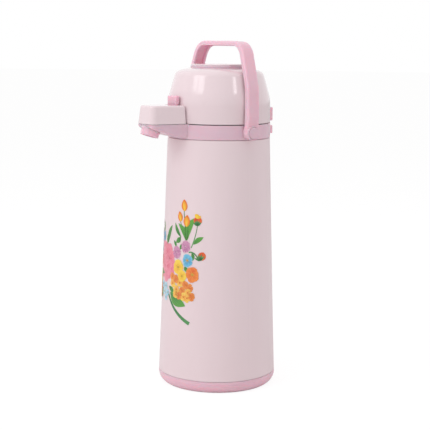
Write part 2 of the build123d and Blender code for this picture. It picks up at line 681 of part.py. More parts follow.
# ================================================================ nozzle and water pipes
with BuildPart() as spout_nozzle:
    with BuildSketch(NOZZLE_PLANE) as nozzle_band:
        Circle(NOZZLE_R)
    extrude(amount=NOZZLE_BAND, taper=NOZZLE_TAPER)
    with BuildSketch(NOZZLE_PLANE.offset(NOZZLE_BAND)) as nozzle_barrel:
        Circle(NOZZLE_R - NOZZLE_STEP)
    with BuildSketch(NOZZLE_PLANE.offset(NOZZLE_LENGTH)) as nozzle_end:
        Circle(NOZZLE_END_R)
    loft()
    fillet(spout_nozzle.faces().sort_by(Axis(NOZZLE_PLANE.origin, NOZZLE_DOWN))[-1].edges(), NOZZLE_STEP)
    with BuildSketch(NOZZLE_PLANE.offset(NOZZLE_WALL)) as nozzle_mouth:
        Circle(NOZZLE_END_R - NOZZLE_WALL)
    extrude(amount=NOZZLE_LENGTH, mode=Mode.SUBTRACT)
    with BuildSketch(NOZZLE_PLANE.offset(-NOZZLE_LENGTH)) as nozzle_bore:
        Circle(PIPE_R + FIT_GAP)
    extrude(amount=2 * NOZZLE_LENGTH, mode=Mode.SUBTRACT)
    # its top follows the belly of the spout
    add(spout_tongue.part, mode=Mode.SUBTRACT)
spout_nozzle.part.label = "spout_nozzle"
export_step(spout_nozzle.part, "parts/spout_nozzle.step")

PIPE_CREST = NOZZLE_PLANE.from_local_coords((0, 0, -PIPE_CREST_UP))
PIPE_END = NOZZLE_PLANE.from_local_coords((0, 0, NOZZLE_WALL + NOZZLE_BAND))

with BuildPart() as delivery_tube:
    with BuildLine() as pipe_path:
        FilletPolyline(
            (0, DIP_TUBE_Y - ELBOW_R, PIPE_Z),
            (0, PIPE_BEND_Y, PIPE_Z),
            PIPE_CREST,
            PIPE_END,
            radius=[PIPE_BEND_R, PIPE_CREST_R],
        )
    with BuildSketch(Plane.XZ.offset(ELBOW_R - DIP_TUBE_Y)) as pipe_section:
        with Locations((0, PIPE_Z)):
            Circle(PIPE_R)
            Circle(PIPE_BORE_R, mode=Mode.SUBTRACT)
    sweep()
delivery_tube.part.label = "delivery_tube"
export_step(delivery_tube.part, "parts/delivery_tube.step")

with BuildPart() as tube_seal:
    with BuildSketch(Plane.XZ.offset(MOUTH_OUT_R + RUN_GAP)) as seal_ring:
        with Locations((0, PIPE_Z)):
            Circle(PIPE_R + PIPE_SEAL_T)
            Circle(PIPE_R + RUN_GAP, mode=Mode.SUBTRACT)
    extrude(amount=PIPE_SEAL_W)
    with BuildSketch(Plane.XY.offset(COLLAR_BOTTOM_Z)) as seal_foot_cut:
        with Locations((0, -MOUTH_OUT_R)):
            Rectangle(FAR, FAR)
    extrude(amount=LEDGE_TOP_Z + RUN_GAP - COLLAR_BOTTOM_Z, mode=Mode.SUBTRACT)
tube_seal.part.label = "tube_seal"
export_step(tube_seal.part, "parts/tube_seal.step")

ELBOW_TOP_Z = PIPE_Z + ELBOW_R
ELBOW_BOTTOM_Z = PIPE_Z - ELBOW_SOCKET

with BuildPart() as tube_elbow:
    with BuildSketch(Plane.XY.offset(ELBOW_BOTTOM_Z)) as elbow_post:
        with Locations((0, DIP_TUBE_Y)):
            Circle(ELBOW_R)
    extrude(amount=ELBOW_TOP_Z - ELBOW_BOTTOM_Z)
    fillet(tube_elbow.edges().group_by(Axis.Z)[-1], ELBOW_ROUND)
    with BuildSketch(Plane.XY.offset(ELBOW_BOTTOM_Z - SINK)) as dip_socket:
        with Locations((0, DIP_TUBE_Y)):
            Circle(PIPE_R + RUN_GAP)
    extrude(amount=ELBOW_SOCKET - PIPE_R + SINK, mode=Mode.SUBTRACT)
    with BuildSketch(Plane.XY.offset(ELBOW_BOTTOM_Z)) as rise_bore:
        with Locations((0, DIP_TUBE_Y)):
            Circle(PIPE_BORE_R)
    extrude(amount=ELBOW_SOCKET + PIPE_BORE_R, mode=Mode.SUBTRACT)
    with BuildSketch(Plane.XZ.offset(-DIP_TUBE_Y)) as port_bore:
        with Locations((0, PIPE_Z)):
            Circle(PIPE_BORE_R)
    extrude(amount=ELBOW_R + SINK, mode=Mode.SUBTRACT)
tube_elbow.part.label = "tube_elbow"
export_step(tube_elbow.part, "parts/tube_elbow.step")

DIP_TOP_Z = PIPE_Z - PIPE_R - FIT_GAP

with BuildPart() as dip_tube:
    with BuildSketch(Plane.XY.offset(DIP_FOOT_Z + DIP_FOOT_H / 2)) as dip_section:
        with Locations((0, DIP_TUBE_Y)):
            Circle(PIPE_R)
            Circle(PIPE_BORE_R, mode=Mode.SUBTRACT)
    extrude(amount=DIP_TOP_Z - DIP_FOOT_Z - DIP_FOOT_H / 2)
dip_tube.part.label = "dip_tube"
export_step(dip_tube.part, "parts/dip_tube.step")

with BuildPart() as dip_tube_foot:
    with BuildSketch(Plane.XY.offset(DIP_FOOT_Z)) as foot_section:
        with Locations((0, DIP_TUBE_Y)):
            Circle(DIP_FOOT_R)
    extrude(amount=DIP_FOOT_H)
    with BuildSketch(Plane.XY.offset(DIP_FOOT_Z + DIP_FOOT_H / 2 - FIT_GAP)) as foot_socket:
        with Locations((0, DIP_TUBE_Y)):
            Circle(PIPE_R + RUN_GAP)
    extrude(amount=DIP_FOOT_H, mode=Mode.SUBTRACT)
    with BuildSketch(Plane.XY.offset(DIP_FOOT_Z)) as foot_bore:
        with Locations((0, DIP_TUBE_Y)):
            Circle(PIPE_BORE_R)
            Rectangle(2 * DIP_FOOT_R + SINK, DIP_NOTCH_W)
            Rectangle(DIP_NOTCH_W, 2 * DIP_FOOT_R + SINK)
    extrude(amount=DIP_FOOT_H / 3, mode=Mode.SUBTRACT)
    with BuildSketch(Plane.XY.offset(DIP_FOOT_Z)) as foot_rise:
        with Locations((0, DIP_TUBE_Y)):
            Circle(PIPE_BORE_R)
    extrude(amount=DIP_FOOT_H, mode=Mode.SUBTRACT)
dip_tube_foot.part.label = "dip_tube_foot"
export_step(dip_tube_foot.part, "parts/dip_tube_foot.step")

# ================================================================ lid
LID_IN_R = LID_R - LID_WALL
WELL_OUT_R = WELL_R + LID_WALL - MOVE_GAP


def lid_outline(inset, drop):
    """Closed outline of the lid, right of the axis, its side moved in and its roof down."""
    skirt = Line((LID_R - inset, LID_BOTTOM_Z), (LID_R - LID_SKIRT_DRAFT - inset, LID_SKIRT_Z))
    cheek = ThreePointArc(
        skirt @ 1,
        (LID_CHEEK_R - inset, LID_CHEEK_Z),
        (LID_CREASE_R - inset, LID_CREASE_Z),
    )
    roof = FilletPolyline(
        cheek @ 1,
        (LID_SHOULDER_R - inset, LID_SHOULDER_Z - drop),
        (LID_CROWN_R - inset, LID_CROWN_Z - drop),
        (WELL_R - inset, LID_TOP_Z - drop),
        radius=[LID_SHOULDER_ROUND - inset, LID_CROWN_ROUND],
    )
    Polyline(roof @ 1, (0, LID_TOP_Z - drop), (0, LID_BOTTOM_Z), skirt @ 0)


with BuildPart() as lid_shell:
    with BuildSketch(Plane.XZ) as lid_outside:
        with BuildLine():
            lid_outline(0, 0)
        make_face()
    revolve(axis=Axis.Z)
    with BuildSketch(Plane.XZ) as lid_inside:
        with BuildLine():
            lid_outline(LID_WALL, LID_WALL)
        make_face()
    revolve(axis=Axis.Z, mode=Mode.SUBTRACT)
    with BuildSketch(Plane.XY.offset(WELL_BOTTOM_Z)) as well_tube:
        Circle(WELL_OUT_R)
    extrude(amount=LID_TOP_Z - WELL_BOTTOM_Z - SINK)
    with BuildSketch(Plane.XY.offset(WELL_BOTTOM_Z)) as well:
        Circle(WELL_R)
    extrude(amount=FAR, mode=Mode.SUBTRACT)
    fillet(lid_shell.edges().group_by(Axis.Z)[-1], LID_LIP_ROUND)
    # posts that take the lid base's screws
    with BuildSketch(Plane.XY.offset(LID_BASE_TOP_Z + RUN_GAP)) as posts:
        with PolarLocations(LID_POST_RING_R, LID_SCREWS, start_angle=LID_POST_TURN):
            Circle(LID_POST_R)
    extrude(amount=LID_POST_TOP_Z - LID_BASE_TOP_Z - RUN_GAP)
    with BuildSketch(Plane.XY.offset(LID_BASE_TOP_Z)) as post_holes:
        with PolarLocations(LID_POST_RING_R, LID_SCREWS, start_angle=LID_POST_TURN):
            Circle(SCREW_R + RUN_GAP)
    extrude(amount=SCREW_L, mode=Mode.SUBTRACT)
    # clearance holes for the hinge's screws
    with BuildSketch(Plane.XZ.offset(-LID_IN_R + 4 * LID_WALL)) as hinge_holes:
        with Locations((HINGE_SCREW_X, HINGE_SCREW_Z), (-HINGE_SCREW_X, HINGE_SCREW_Z)):
            Circle(SCREW_R + RUN_GAP)
    extrude(amount=-FAR, mode=Mode.SUBTRACT)
lid_shell.part.label = "lid_shell"
export_step(lid_shell.part, "parts/lid_shell.step")

with BuildPart() as lid_hinge:
    with BuildSketch(Plane.XZ.offset(-HINGE_REAR_Y)) as lid_block:
        with Locations((0, (HINGE_LID_TOP_Z + HINGE_LID_BOTTOM_Z) / 2)):
            RectangleRounded(2 * HINGE_HALF_W, HINGE_LID_TOP_Z - HINGE_LID_BOTTOM_Z, HINGE_ROUND)
    extrude(amount=HINGE_REAR_Y - TONGUE_END)
    with BuildSketch(Plane.XY.offset(HINGE_BODY_BOTTOM_Z)) as lid_seat:
        Circle(LID_R + RUN_GAP)
    extrude(amount=FAR, mode=Mode.SUBTRACT)
    for side in (1, -1):
        with BuildSketch(Plane.YZ.offset(side * (KNUCKLE_MID + MOVE_GAP))) as side_knuckle:
            with Locations((HINGE_Y, HINGE_Z)):
                Circle(KNUCKLE_R)
            with Locations((HINGE_Y, (HINGE_Z + HINGE_LID_BOTTOM_Z + SINK) / 2)):
                Rectangle(HINGE_KNUCKLE_W, HINGE_LID_BOTTOM_Z + SINK - HINGE_Z)
            with Locations((HINGE_Y, HINGE_Z)):
                Circle(HINGE_PIN_R + RUN_GAP, mode=Mode.SUBTRACT)
        extrude(amount=side * (KNUCKLE_END - KNUCKLE_MID - MOVE_GAP))
    with BuildSketch(Plane.XZ.offset(-LID_IN_R)) as block_holes:
        with Locations((HINGE_SCREW_X, HINGE_SCREW_Z), (-HINGE_SCREW_X, HINGE_SCREW_Z)):
            Circle(SCREW_R + RUN_GAP)
    extrude(amount=HINGE_SCREW_END_Y - LID_IN_R + FIT_GAP, both=True, mode=Mode.SUBTRACT)
lid_hinge.part.label = "lid_hinge"
export_step(lid_hinge.part, "parts/lid_hinge.step")

with BuildPart() as hinge_pin:
    with BuildSketch(Plane.YZ) as pin_section:
        with Locations((HINGE_Y, HINGE_Z)):
            Circle(HINGE_PIN_R)
    extrude(amount=KNUCKLE_END, both=True)
    chamfer(hinge_pin.edges(), HINGE_PIN_R / 5)
hinge_pin.part.label = "hinge_pin"
export_step(hinge_pin.part, "parts/hinge_pin.step")

with BuildPart() as lid_base:
    with BuildSketch(Plane.XZ) as lid_base_section:
        with BuildLine():
            Polyline(
                (0, PLUG_Z),
                (PLUG_R, PLUG_Z),
                (PLUG_R, LID_BASE_Z),
                (LID_IN_R - FIT_GAP, LID_BASE_Z),
                (LID_IN_R - FIT_GAP, LID_BASE_TOP_Z),
                (SPRING_SEAT_R, LID_BASE_TOP_Z),
                (SPRING_SEAT_R, LID_BASE_TOP_Z + SPRING_SEAT_H),
                (SPRING_SEAT_R - LID_WALL, LID_BASE_TOP_Z + SPRING_SEAT_H),
                (SPRING_SEAT_R - LID_WALL, LID_BASE_TOP_Z),
                (0, LID_BASE_TOP_Z),
                close=True,
            )
        make_face()
    revolve(axis=Axis.Z)
    with BuildSketch(Plane.XY.offset(PLUG_Z)) as air_holes:
        Circle(STEM_R + RUN_GAP)
        with PolarLocations(AIR_HOLE_RING_R, AIR_HOLES):
            Circle(AIR_HOLE_R)
        with PolarLocations(LID_POST_RING_R, LID_SCREWS, start_angle=LID_POST_TURN):
            Circle(SCREW_R + RUN_GAP)
    extrude(amount=LID_BASE_TOP_Z - PLUG_Z, mode=Mode.SUBTRACT)
lid_base.part.label = "lid_base"
export_step(lid_base.part, "parts/lid_base.step")

with BuildPart() as mouth_seal:
    with BuildSketch(Plane.XY.offset(LID_BASE_Z - SEAL_T)) as mouth_ring:
        Circle(SEAL_OUTER_R)
        Circle(PLUG_R + RUN_GAP, mode=Mode.SUBTRACT)
    extrude(amount=SEAL_T - RUN_GAP)
    fillet(mouth_seal.edges().group_by(Axis.Z)[0], SEAL_T / 3)
mouth_seal.part.label = "mouth_seal"
export_step(mouth_seal.part, "parts/mouth_seal.step")

FLAP_Z = PLUG_Z - FLAP_T - RUN_GAP

with BuildPart() as air_valve_flap:
    with BuildSketch(Plane.XY.offset(FLAP_Z)) as flap_section:
        Circle(FLAP_R)
        Circle(STEM_R + RUN_GAP, mode=Mode.SUBTRACT)
    extrude(amount=FLAP_T)
air_valve_flap.part.label = "air_valve_flap"
export_step(air_valve_flap.part, "parts/air_valve_flap.step")

with BuildPart() as flap_retainer:
    with BuildSketch(Plane.XY.offset(FLAP_Z - STEM_HEAD_T - RUN_GAP)) as stem_head:
        Circle(STEM_HEAD_R)
    extrude(amount=STEM_HEAD_T)
    with BuildSketch(Plane.XY.offset(FLAP_Z - STEM_HEAD_T)) as stem:
        Circle(STEM_R)
    extrude(amount=LID_BASE_TOP_Z - FLAP_Z + STEM_HEAD_T)
flap_retainer.part.label = "flap_retainer"
export_step(flap_retainer.part, "parts/flap_retainer.step")

# ================================================================ bellows and push plate
BELLOWS_BOTTOM_Z = LID_BASE_TOP_Z + RUN_GAP
BELLOWS_TOP_Z = PLATE_FLOOR_Z - RUN_GAP
FOLD_START_Z = BELLOWS_BOTTOM_Z + BELLOWS_FLANGE
FOLD_PITCH = (BELLOWS_TOP_Z - BELLOWS_FLANGE - FOLD_START_Z) / BELLOWS_FOLDS
BELLOWS_IN_R = BELLOWS_ROOT_R - BELLOWS_WALL

with BuildPart() as bellows:
    with BuildSketch(Plane.XZ) as bellows_section:
        with BuildLine():
            folds_out = [(BELLOWS_ROOT_R, FOLD_START_Z)]
            for fold in range(BELLOWS_FOLDS):
                crest_z = FOLD_START_Z + (fold + 0.5) * FOLD_PITCH
                folds_out += [(BELLOWS_R, crest_z), (BELLOWS_ROOT_R, crest_z + FOLD_PITCH / 2)]
            folds_in = [(radius - BELLOWS_WALL, height) for radius, height in folds_out]
            Polyline(
                (BELLOWS_IN_R, BELLOWS_BOTTOM_Z),
                (BELLOWS_R, BELLOWS_BOTTOM_Z),
                (BELLOWS_R, FOLD_START_Z),
                *folds_out,
                (BELLOWS_R, BELLOWS_TOP_Z - BELLOWS_FLANGE),
                (BELLOWS_R, BELLOWS_TOP_Z),
                (BELLOWS_IN_R, BELLOWS_TOP_Z),
                *reversed(folds_in),
                close=True,
            )
        make_face()
    revolve(axis=Axis.Z)
bellows.part.label = "bellows"
export_step(bellows.part, "parts/bellows.step")

SPRING_LOW_Z = LID_BASE_TOP_Z + SPRING_WIRE_R + RUN_GAP
SPRING_H = PLATE_FLOOR_Z - RUN_GAP - SPRING_WIRE_R - SPRING_LOW_Z

with BuildPart() as return_spring:
    with BuildLine() as spring_path:
        coil = Helix(SPRING_H / SPRING_TURNS, SPRING_H, SPRING_R, center=(0, 0, SPRING_LOW_Z))
    with BuildSketch(Plane(origin=coil @ 0, z_dir=coil % 0)) as spring_wire:
        Circle(SPRING_WIRE_R)
    sweep(is_frenet=True)
return_spring.part.label = "return_spring"
export_step(return_spring.part, "parts/return_spring.step")

PLATE_IN_R = PLATE_R - PLATE_WALL

with BuildPart() as push_plate_ring:
    with BuildSketch(Plane.XZ) as ring_profile:
        with BuildLine():
            Polyline(
                (PLATE_IN_R, PLATE_SKIRT_Z),
                (PLATE_R, PLATE_SKIRT_Z),
                (PLATE_R, PLATE_RIM_Z),
                (PLATE_IN_R, PLATE_RIM_Z),
                (PLATE_IN_R, PLATE_FLOOR_Z + PLATE_FLOOR_T),
                (VENT_STEM_R + RUN_GAP, PLATE_FLOOR_Z + PLATE_FLOOR_T),
                (VENT_STEM_R + RUN_GAP, PLATE_FLOOR_Z),
                (PLATE_IN_R, PLATE_FLOOR_Z),
                close=True,
            )
        make_face()
        fillet(ring_profile.vertices().group_by(Axis.Y)[-1].sort_by(Axis.X)[-1], PLATE_EDGE)
    revolve(axis=Axis.Z)
    with BuildSketch(Plane.XY.offset(PLATE_SKIRT_Z)) as hooks:
        with PolarLocations(PLATE_R, HOOK_COUNT, start_angle=HOOK_TURN):
            Rectangle(2 * HOOK_OUT, HOOK_W)
        Circle(PLATE_R - SINK, mode=Mode.SUBTRACT)
    extrude(amount=HOOK_H)
push_plate_ring.part.label = "push_plate_ring"
export_step(push_plate_ring.part, "parts/push_plate_ring.step")

with BuildPart() as push_plate_cap:
    with BuildSketch(Plane.XY.offset(PLATE_RIM_Z + RUN_GAP)) as cap_disc:
        Circle(PLATE_CAP_R)
    extrude(amount=PLATE_TOP_Z - PLATE_RIM_Z - RUN_GAP)
    fillet(push_plate_cap.edges().group_by(Axis.Z)[-1], PLATE_EDGE)
    with BuildSketch(Plane.XY.offset(PLATE_FLOOR_Z + PLATE_FLOOR_T + FIT_GAP)) as cap_spigot:
        Circle(PLATE_IN_R - FIT_GAP)
        Circle(PLATE_IN_R - FIT_GAP - PLATE_WALL, mode=Mode.SUBTRACT)
    extrude(amount=PLATE_RIM_Z + SINK - PLATE_FLOOR_Z - PLATE_FLOOR_T - FIT_GAP)
push_plate_cap.part.label = "push_plate_cap"
export_step(push_plate_cap.part, "parts/push_plate_cap.step")

with BuildPart() as vent_valve:
    with BuildSketch(Plane.XY.offset(PLATE_FLOOR_Z - VENT_T - RUN_GAP)) as vent_disc:
        Circle(VENT_R)
    extrude(amount=VENT_T)
    with BuildSketch(Plane.XY.offset(PLATE_FLOOR_Z - VENT_T)) as vent_stem:
        Circle(VENT_STEM_R)
    extrude(amount=VENT_T + PLATE_FLOOR_T + SINK)
vent_valve.part.label = "vent_valve"
export_step(vent_valve.part, "parts/vent_valve.step")

# ================================================================ carrying handle
# The handle's own planes lean back with it; heights in them are above the pivot.
HANDLE_UP = (0, sin(radians(HANDLE_TILT)), cos(radians(HANDLE_TILT)))
HANDLE_BACK = (0, cos(radians(HANDLE_TILT)), -sin(radians(HANDLE_TILT)))
HANDLE_FRONT_VIEW = Plane(
    origin=(0, 0, PIVOT_Z), x_dir=(1, 0, 0), z_dir=(0, -HANDLE_UP[2], HANDLE_UP[1])
)
HANDLE_SIDE_VIEW = Plane(origin=(0, 0, PIVOT_Z), x_dir=HANDLE_BACK, z_dir=(1, 0, 0))
HANDLE_LEAN = (HANDLE_WAIST - HANDLE_SHOULDER) / (HANDLE_GRIP_H - HANDLE_WAIST_H)
HANDLE_TOP_H = HANDLE_GRIP_H + HANDLE_GRIP_T
HANDLE_END_R = HANDLE_W / 2


def bail_outline(offset, grip_offset, bottom):
    """Closed outline of the bail's inner face, moved outwards by an offset."""
    top = HANDLE_GRIP_H + grip_offset
    waist = HANDLE_WAIST + offset
    shoulder = waist - HANDLE_LEAN * (top - HANDLE_WAIST_H)
    corner = HANDLE_CORNER_R + grip_offset
    bail = FilletPolyline(
        (HANDLE_INNER + offset, bottom),
        (HANDLE_INNER + offset, HANDLE_KNEE_H),
        (waist, HANDLE_WAIST_H),
        (shoulder, top),
        (-shoulder, top),
        (-waist, HANDLE_WAIST_H),
        (-HANDLE_INNER - offset, HANDLE_KNEE_H),
        (-HANDLE_INNER - offset, bottom),
        radius=[HANDLE_KNEE_R, HANDLE_WAIST_R, corner, corner, HANDLE_WAIST_R, HANDLE_KNEE_R],
    )
    Line(bail @ 1, bail @ 0)


with BuildPart() as carry_handle:
    with BuildSketch(HANDLE_FRONT_VIEW) as bail_outside:
        with BuildLine():
            bail_outline(HANDLE_LEG_T, HANDLE_GRIP_T, -HANDLE_W)
        make_face()
    extrude(amount=HANDLE_W / 2, both=True)
    side_faces = carry_handle.faces().filter_by(Axis((0, 0, 0), HANDLE_BACK))
    fillet(side_faces.edges(), HANDLE_ROUND)
    with BuildSketch(HANDLE_FRONT_VIEW) as bail_inside:
        with BuildLine():
            bail_outline(0, 0, -2 * HANDLE_W)
        make_face()
    extrude(amount=HANDLE_W, both=True, mode=Mode.SUBTRACT)
    # the channel along the inner face
    with BuildSketch(HANDLE_FRONT_VIEW) as channel:
        with BuildLine():
            bail_outline(CHANNEL_DEPTH, CHANNEL_DEPTH, CHANNEL_START_H)
        make_face()
    extrude(amount=HANDLE_W / 2 - CHANNEL_RIM, both=True, mode=Mode.SUBTRACT)
    # round lower ends
    with BuildSketch(HANDLE_SIDE_VIEW) as leg_side:
        Circle(HANDLE_END_R)
        with Locations((0, HANDLE_TOP_H / 2)):
            Rectangle(HANDLE_W, HANDLE_TOP_H)
    extrude(amount=FAR, both=True, mode=Mode.INTERSECT)
    # raised rings around the pivot pins' heads
    for side in (1, -1):
        with BuildSketch(Plane.YZ.offset(side * (HANDLE_OUTER - HANDLE_ROUND))) as pivot_ring:
            with Locations((0, PIVOT_Z)):
                Circle(PIVOT_RING_R)
        extrude(amount=side * (PIVOT_RING_H + HANDLE_ROUND))
        with BuildSketch(Plane.YZ.offset(side * HANDLE_OUTER)) as cap_recess:
            with Locations((0, PIVOT_Z)):
                Circle(PIVOT_CAP_R + MOVE_GAP)
        extrude(amount=side * FAR, mode=Mode.SUBTRACT)
    with BuildSketch(Plane.YZ) as pivot_bore:
        with Locations((0, PIVOT_Z)):
            Circle(PIVOT_PIN_R + RUN_GAP)
    extrude(amount=FAR, both=True, mode=Mode.SUBTRACT)
carry_handle.part.label = "carry_handle"
export_step(carry_handle.part, "parts/carry_handle.step")

CAP_START_X = HANDLE_OUTER + 2 * RUN_GAP

with BuildPart() as handle_pivot_pins:
    for side in (1, -1):
        with BuildSketch(Plane.YZ.offset(side * CAP_START_X)) as pin_cap:
            with Locations((0, PIVOT_Z)):
                Circle(PIVOT_CAP_R)
        extrude(amount=side * PIVOT_CAP_T)
        with BuildSketch(Plane.YZ.offset(side * (CAP_START_X + SINK))) as pin_shank:
            with Locations((0, PIVOT_Z)):
                Circle(PIVOT_PIN_R)
        extrude(amount=-side * (PIVOT_PIN_L + SINK))
    cap_faces = handle_pivot_pins.faces().sort_by(Axis.X)
    fillet(cap_faces[-1].edges() + cap_faces[0].edges(), PIVOT_CAP_ROUND)
handle_pivot_pins.part.label = "handle_pivot_pins"
export_step(handle_pivot_pins.part, "parts/handle_pivot_pins.step")

WASHER_X = PIVOT_BOSS_X + 2 * RUN_GAP
WASHER_T = HANDLE_INNER - PIVOT_BOSS_X - 4 * RUN_GAP

with BuildPart() as handle_washers:
    for side in (1, -1):
        with BuildSketch(Plane.YZ.offset(side * WASHER_X)) as washer:
            with Locations((0, PIVOT_Z)):
                Circle(WASHER_R)
                Circle(PIVOT_PIN_R + 2 * RUN_GAP, mode=Mode.SUBTRACT)
        extrude(amount=side * WASHER_T)
handle_washers.part.label = "handle_washers"
export_step(handle_washers.part, "parts/handle_washers.step")

# ================================================================ lid latch
COIL_ROOM = LATCH_COIL_HALF_W + MOVE_GAP

with BuildPart() as latch_lever:
    with BuildSketch(Plane.YZ) as lever_blade:
        with Locations((LATCH_REAR_Y - LATCH_T / 2, (LATCH_TOP_Z + LATCH_PIVOT_Z) / 2)):
            Rectangle(LATCH_T, LATCH_TOP_Z - LATCH_PIVOT_Z)
    extrude(amount=LATCH_HALF_W, both=True)
    crown = latch_lever.faces().sort_by(Axis.Z)[-1]
    fillet(latch_lever.edges().filter_by(Axis.Z) + crown.edges(), LATCH_ROUND)
    with BuildSketch(Plane.YZ) as lever_root:
        with Locations((LATCH_PIVOT_Y, LATCH_PIVOT_Z)):
            Circle(LATCH_BARREL_R)
        with Locations(((LATCH_PIVOT_Y + LATCH_REAR_Y) / 2 - LATCH_ROUND, LATCH_PIVOT_Z)):
            Rectangle(LATCH_REAR_Y - LATCH_PIVOT_Y, 2 * LATCH_BARREL_R - LATCH_ROUND)
    extrude(amount=LATCH_HALF_W, both=True)
    with BuildSketch(Plane.XY.offset(LATCH_NOSE_Z - LATCH_NOSE_H / 2)) as lever_nose:
        with Locations((0, LATCH_REAR_Y)):
            Rectangle(2 * LATCH_NOSE_HALF_W, 2 * MOVE_GAP)
        Circle(LID_R + MOVE_GAP, mode=Mode.SUBTRACT)
    extrude(amount=LATCH_NOSE_H)
    # room for the spring's coil, and the pin's bore
    with BuildSketch(Plane.YZ) as coil_room:
        with Locations((LATCH_PIVOT_Y, LATCH_PIVOT_Z)):
            Circle(LATCH_BARREL_R + SINK)
        with Locations((LATCH_PIVOT_Y, LATCH_PIVOT_Z + LATCH_BARREL_R)):
            Rectangle(2 * (LATCH_BARREL_R - LATCH_ROUND), 2 * LATCH_BARREL_R)
    extrude(amount=COIL_ROOM, both=True, mode=Mode.SUBTRACT)
    with BuildSketch(Plane.YZ) as lever_bore:
        with Locations((LATCH_PIVOT_Y, LATCH_PIVOT_Z)):
            Circle(LATCH_PIN_R + RUN_GAP)
    extrude(amount=LATCH_HALF_W, both=True, mode=Mode.SUBTRACT)
latch_lever.part.label = "latch_lever"
export_step(latch_lever.part, "parts/latch_lever.step")

with BuildPart() as latch_pin:
    with BuildSketch(Plane.YZ) as latch_pin_section:
        with Locations((LATCH_PIVOT_Y, LATCH_PIVOT_Z)):
            Circle(LATCH_PIN_R)
    extrude(amount=EAR_X + LATCH_EAR_T, both=True)
latch_pin.part.label = "latch_pin"
export_step(latch_pin.part, "parts/latch_pin.step")

LATCH_COIL_R = (LATCH_PIN_R + LATCH_BARREL_R) / 2
LATCH_COIL_L = 2 * (LATCH_COIL_HALF_W - LATCH_WIRE_R)

with BuildPart() as latch_spring:
    with BuildLine() as latch_spring_path:
        latch_coil = Helix(
            LATCH_COIL_L / LATCH_COILS,
            LATCH_COIL_L,
            LATCH_COIL_R,
            center=(-LATCH_COIL_L / 2, LATCH_PIVOT_Y, LATCH_PIVOT_Z),
            direction=(1, 0, 0),
        )
    with BuildSketch(Plane(origin=latch_coil @ 0, z_dir=latch_coil % 0)) as latch_wire:
        Circle(LATCH_WIRE_R)
    sweep(is_frenet=True)
latch_spring.part.label = "latch_spring"
export_step(latch_spring.part, "parts/latch_spring.step")

# ================================================================ screws
with BuildPart() as lid_base_screws:
    with BuildSketch(Plane.XY.offset(LID_BASE_Z - SCREW_HEAD_H - RUN_GAP)) as base_screw_heads:
        with PolarLocations(LID_POST_RING_R, LID_SCREWS, start_angle=LID_POST_TURN):
            Circle(SCREW_HEAD_R)
    extrude(amount=SCREW_HEAD_H)
    with BuildSketch(Plane.XY.offset(LID_BASE_Z - SCREW_HEAD_H)) as base_screw_shanks:
        with PolarLocations(LID_POST_RING_R, LID_SCREWS, start_angle=LID_POST_TURN):
            Circle(SCREW_R)
    extrude(amount=SCREW_L)
    with BuildSketch(Plane.XY.offset(LID_BASE_Z - SCREW_HEAD_H - RUN_GAP)) as base_screw_sockets:
        with PolarLocations(LID_POST_RING_R, LID_SCREWS, start_angle=LID_POST_TURN):
            RegularPolygon(SOCKET_R, 6)
    extrude(amount=SCREW_HEAD_H / 2, mode=Mode.SUBTRACT)
lid_base_screws.part.label = "lid_base_screws"
export_step(lid_base_screws.part, "parts/lid_base_screws.step")

with BuildPart() as cover_screws:
    with BuildSketch(Plane.XY.offset(COVER_SCREW_HEAD_Z)) as cover_screw_heads:
        with Locations((COVER_SCREW_X, COVER_SCREW_Y), (-COVER_SCREW_X, COVER_SCREW_Y)):
            Circle(SCREW_HEAD_R)
    extrude(amount=SCREW_HEAD_H)
    with BuildSketch(Plane.XY.offset(COVER_SCREW_HEAD_Z + SCREW_HEAD_H / 2)) as cover_screw_shanks:
        with Locations((COVER_SCREW_X, COVER_SCREW_Y), (-COVER_SCREW_X, COVER_SCREW_Y)):
            Circle(SCREW_R)
    extrude(amount=COVER_SCREW_L - SCREW_HEAD_H)
    with BuildSketch(Plane.XY.offset(COVER_SCREW_HEAD_Z)) as cover_screw_sockets:
        with Locations((COVER_SCREW_X, COVER_SCREW_Y), (-COVER_SCREW_X, COVER_SCREW_Y)):
            RegularPolygon(SOCKET_R, 6)
    extrude(amount=SCREW_HEAD_H / 2, mode=Mode.SUBTRACT)
cover_screws.part.label = "cover_screws"
export_step(cover_screws.part, "parts/cover_screws.step")

HINGE_SCREW_HEAD_Y = sqrt(LID_IN_R**2 - (HINGE_SCREW_X + SCREW_HEAD_R) ** 2) - RUN_GAP

with BuildPart() as hinge_screws:
    with BuildSketch(Plane.XZ.offset(-HINGE_SCREW_HEAD_Y)) as hinge_screw_heads:
        with Locations((HINGE_SCREW_X, HINGE_SCREW_Z), (-HINGE_SCREW_X, HINGE_SCREW_Z)):
            Circle(SCREW_HEAD_R)
    extrude(amount=SCREW_HEAD_H)
    with BuildSketch(Plane.XZ.offset(-HINGE_SCREW_END_Y)) as hinge_screw_shanks:
        with Locations((HINGE_SCREW_X, HINGE_SCREW_Z), (-HINGE_SCREW_X, HINGE_SCREW_Z)):
            Circle(SCREW_R)
    extrude(amount=HINGE_SCREW_END_Y - HINGE_SCREW_HEAD_Y + SCREW_HEAD_H / 2)
hinge_screws.part.label = "hinge_screws"
export_step(hinge_screws.part, "parts/hinge_screws.step")
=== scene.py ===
"""Looks for a glass-lined pump pot: camera, studio, finishes and the bouquet printed on its casing.

Metres, +Z up, -Y towards the spout, as in the frame. Print sizes are in millimetres.
"""

import json
import random
from math import cos, log, pi, radians, sin

import bmesh
import bpy
from mathutils import Matrix, Vector
from mathutils.bvhtree import BVHTree


